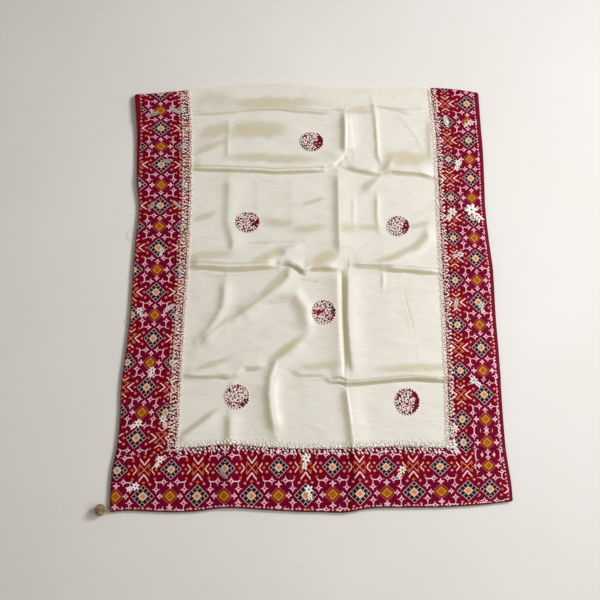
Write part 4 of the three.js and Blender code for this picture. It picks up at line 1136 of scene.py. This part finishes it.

# Sprays on the borders: centre, length, heading in degrees, share of deep colour, 1 for a flower and 0
# for a leaf.
SPRAYS = [
    (-507, 568, 42, 20, 0.9, 0), (-432, 583, 40, 150, 0.6, 0), (-452, 403, 36, 10, 0.8, 0),
    (-492, 248, 34, 60, 0.9, 0), (-412, 255, 32, 140, 0.7, 0), (-452, 98, 26, 80, 0.3, 1),
    (-507, -92, 30, 120, 0.3, 1), (-422, -82, 38, 40, 0.3, 0), (-462, -272, 30, 70, 0.1, 1),
    (-497, -425, 34, 30, 0.1, 1), (-419, -415, 34, 110, 0.3, 1), (-427, -529, 32, 60, 0.0, 1),
    (-495, -599, 34, 20, 0.0, 1), (-242, -562, 34, 130, 0.8, 0), (-12, -527, 40, 80, 0.0, 1),
    (-2, -612, 38, 100, 0.0, 1), (258, -557, 34, 60, 0.1, 1), (445, 543, 40, 100, 0.1, 0),
    (518, 536, 34, 30, 0.3, 1), (473, 391, 36, 70, 0.0, 1), (513, 228, 62, 130, 0.0, 1),
    (443, 223, 44, 60, 0.2, 1), (458, 88, 32, 20, 0.3, 1), (518, -77, 30, 100, 0.3, 1),
    (441, -69, 36, 80, 0.2, 0), (483, -302, 36, 140, 0.0, 1), (413, -442, 34, 50, 0.2, 1),
    (411, -487, 40, 120, 0.0, 1),
]


def sprays():
    """Sewn sprays: a flower of six petals over a stalk with three pairs of leaves, or a leaf of slanting
    pairs."""
    parts = []
    for x, y, length, degrees, dark, is_flower in SPRAYS:
        heading = np.radians(degrees)
        ahead = np.array([np.cos(heading), np.sin(heading)])
        k = np.arange(6)
        if is_flower:
            turn = k * np.pi / 3 + heading
            head = np.array([x, y]) + ahead * length * 0.18
            base = head + 1.5 * np.stack([np.cos(turn), np.sin(turn)], axis=-1)
            stalk = np.array([x, y]) - ahead * length * 0.08 - np.outer(k // 2, ahead) * length * 0.16
            base = np.concatenate([base, stalk])
            turn = np.r_[turn, heading + np.pi + np.where(k % 2, 0.7, -0.7)]
            petal, leaf = (length * 0.34, length * 0.2, 2.0), (length * 0.3, length * 0.13, 1.7)
            size = np.array([petal] * 6 + [leaf] * 6)
        else:
            k = np.arange(15)
            along = (k // 2) / 7
            base = np.array([x, y]) + np.outer(along - 0.5, ahead) * length
            turn = heading + np.where(k == 14, 0, np.where(k % 2, 0.62, -0.62))
            reach = length * 0.34 * np.sin(np.pi * (0.2 + 0.7 * along))
            size = np.stack([reach, np.full(15, length * 0.085), np.full(15, 1.4)], axis=1)
        u, v = flat(*base.T)
        parts.append(sewn(PETAL, u, v, turn, size, 0.1, np.clip(dark * 0.7 + jitter(len(u), 0.1), 0, 1)))
    points, faces, tones = joined(parts)
    return make("border_sprays", points, faces, IVORY, tone=tones)


spray_work = sprays()

# ---- the ball at the corner ----

BALL = {"x": -581, "y": -660, "radius": 16.5, "height": 30, "beads": 240, "bead": 3.5}


def ball():
    """Beaded ball: a core, and round it beads at even heights and turns of the golden angle."""
    count, bead = BALL["beads"], BALL["bead"]
    k = np.arange(count) + 0.5
    lat = np.arcsin(1 - 2 * k / count)
    lon = k * np.pi * (3 - np.sqrt(5))
    way = np.stack([np.cos(lat) * np.cos(lon), np.cos(lat) * np.sin(lon), np.sin(lat)], axis=-1)
    reach = np.array([BALL["radius"], BALL["radius"], BALL["height"] / 2])
    centre = np.array([BALL["x"], BALL["y"], BALL["height"] / 2])
    unit, faces = ball_shape(8, 6)
    points = centre + way[:, None] * (reach - bead * 0.5) + (unit - [0, 0, 0.5])[None] * bead
    start = np.arange(count)[:, None, None] * len(unit)
    shades = np.repeat(RANDOM.uniform(0, 1, count), len(unit))
    beads = points.reshape(-1, 3), (faces[None] + start).reshape(-1, 3), shades
    core_unit, core_faces = ball_shape(24, 14)
    core = centre + (core_unit - [0, 0, 0.5]) * 2 * (reach - bead * 0.62), core_faces, 0.9
    points, faces, tones = joined([beads, core])
    obj = make("latkan_ball", points, faces, BALL_BEADS, tone=tones)
    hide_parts("latkan")


def ball_tie():
    """The ball's knot and the short thread over to the corner of the hem."""
    knot = np.array([BALL["x"] + BALL["radius"] + 1.6, BALL["y"], BALL["height"] / 2 + 1])
    unit, faces = ball_shape(12, 8)
    bead = (unit - [0, 0, 0.5]) * 4.4 + knot, faces, 0.2
    corner = on_cloth(np.array([-HALF_WIDTH]), np.array([0.0]))[0]
    t = np.linspace(0, 1, 14)[:, None]
    start, end = knot + [0.6, -1.4, 0.3], corner + [-0.6, -1.2, 1.6]
    path = start + (end - start) * t + np.array([0, -0.8, 1.6]) * np.sin(np.pi * t)
    loop = (*tube(path, 0.7, 8), 0.6)
    second = (*tube(path + [0.5, 0.9, -0.9], 0.6, 8), 0.3)
    points, faces, tones = joined([bead, loop, second])
    obj = make("latkan_tie", points, faces, BALL_BEADS, tone=tones)
    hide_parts("latkan_knot", "latkan_thread")


ball()
ball_tie()

# ---- floor, light and camera ----

FLOOR_REACH = 6.0


def floor():
    """A pale plastered floor with faint uneven patches, and painted shade that dulls it away from the cloth.
    """
    finish = Finish("pale plaster", 0.85, Specular_IOR_Level=0.2)
    place = finish.node("ShaderNodeTexCoord").outputs["Object"]
    cloud = finish.noise(place, 2.2, 3.0)
    pale = finish.mixed(cloud, rgb(229, 224, 217), rgb(239, 235, 230))
    length = finish.node("ShaderNodeVectorMath", links={0: place}, operation="LENGTH")
    # Painted shade: darker away from the middle of the floor.
    away = finish.ramped(finish.number(length.outputs["Value"]), 0.7, 1.5)
    finish.link(finish.mixed(away * 0.4, pale, rgb(200, 196, 190)), "Base Color")
    finish.bump(finish.noise(place, 60.0, 4.0), 0.15, 0.001)
    mesh = bpy.data.meshes.new("floor")
    corners = [(-1, -1), (1, -1), (1, 1), (-1, 1)]
    mesh.from_pydata([(x * FLOOR_REACH, y * FLOOR_REACH, 0) for x, y in corners], [], [(0, 1, 2, 3)])
    mesh.materials.append(finish.material)
    obj = bpy.data.objects.new("floor", mesh)
    bpy.context.collection.objects.link(obj)


# Lights: place, size, power and colour.
LIGHTS = {
    "key": ((4.0, 1.6, 3.2), 1.5, 224, (0.957, 0.985, 1.028)),
    "fill": ((3.2, -1.0, 3.0), 1.8, 51, (0.967, 0.99, 1.022)),
}


def soft_light(name, place, size, watts, colour):
    """A square soft box at place, turned to face the middle of the floor."""
    lamp = bpy.data.lights.new(name, "AREA")
    lamp.size = size
    lamp.energy = watts
    lamp.color = colour
    obj = bpy.data.objects.new(name, lamp)
    way = -np.array(place, float)
    obj.location = place
    flatways = np.hypot(way[0], way[1])
    obj.rotation_euler = (np.arctan2(flatways, -way[2]), 0, np.arctan2(way[1], way[0]) - np.pi / 2)
    bpy.context.collection.objects.link(obj)


CAMERA_PLACE = -0.027, -0.607, 2.0421
CAMERA_TILT = 15.2
LENS, SENSOR = 42.0, 36.0


def camera():
    """Camera above the hem, tilted a little up the cloth."""
    lens = bpy.data.cameras.new("camera")
    lens.lens = LENS
    lens.sensor_width = SENSOR
    obj = bpy.data.objects.new("camera", lens)
    obj.location = CAMERA_PLACE
    obj.rotation_euler = (np.radians(CAMERA_TILT), 0, 0)
    bpy.context.collection.objects.link(obj)
    bpy.context.scene.camera = obj


SKY_COLOUR, SKY_STRENGTH = (1, 0.945, 0.85, 1), 0.3


def sky():
    """Even, warm light from all round."""
    world = bpy.data.worlds.new("studio")
    bpy.context.scene.world = world
    world.use_nodes = True
    background = world.node_tree.nodes["Background"]
    background.inputs["Color"].default_value = SKY_COLOUR
    background.inputs["Strength"].default_value = SKY_STRENGTH


floor()
for light, settings in LIGHTS.items():
    soft_light(light, *settings)
camera()
sky()
bpy.context.scene.view_settings.view_transform = "Standard"
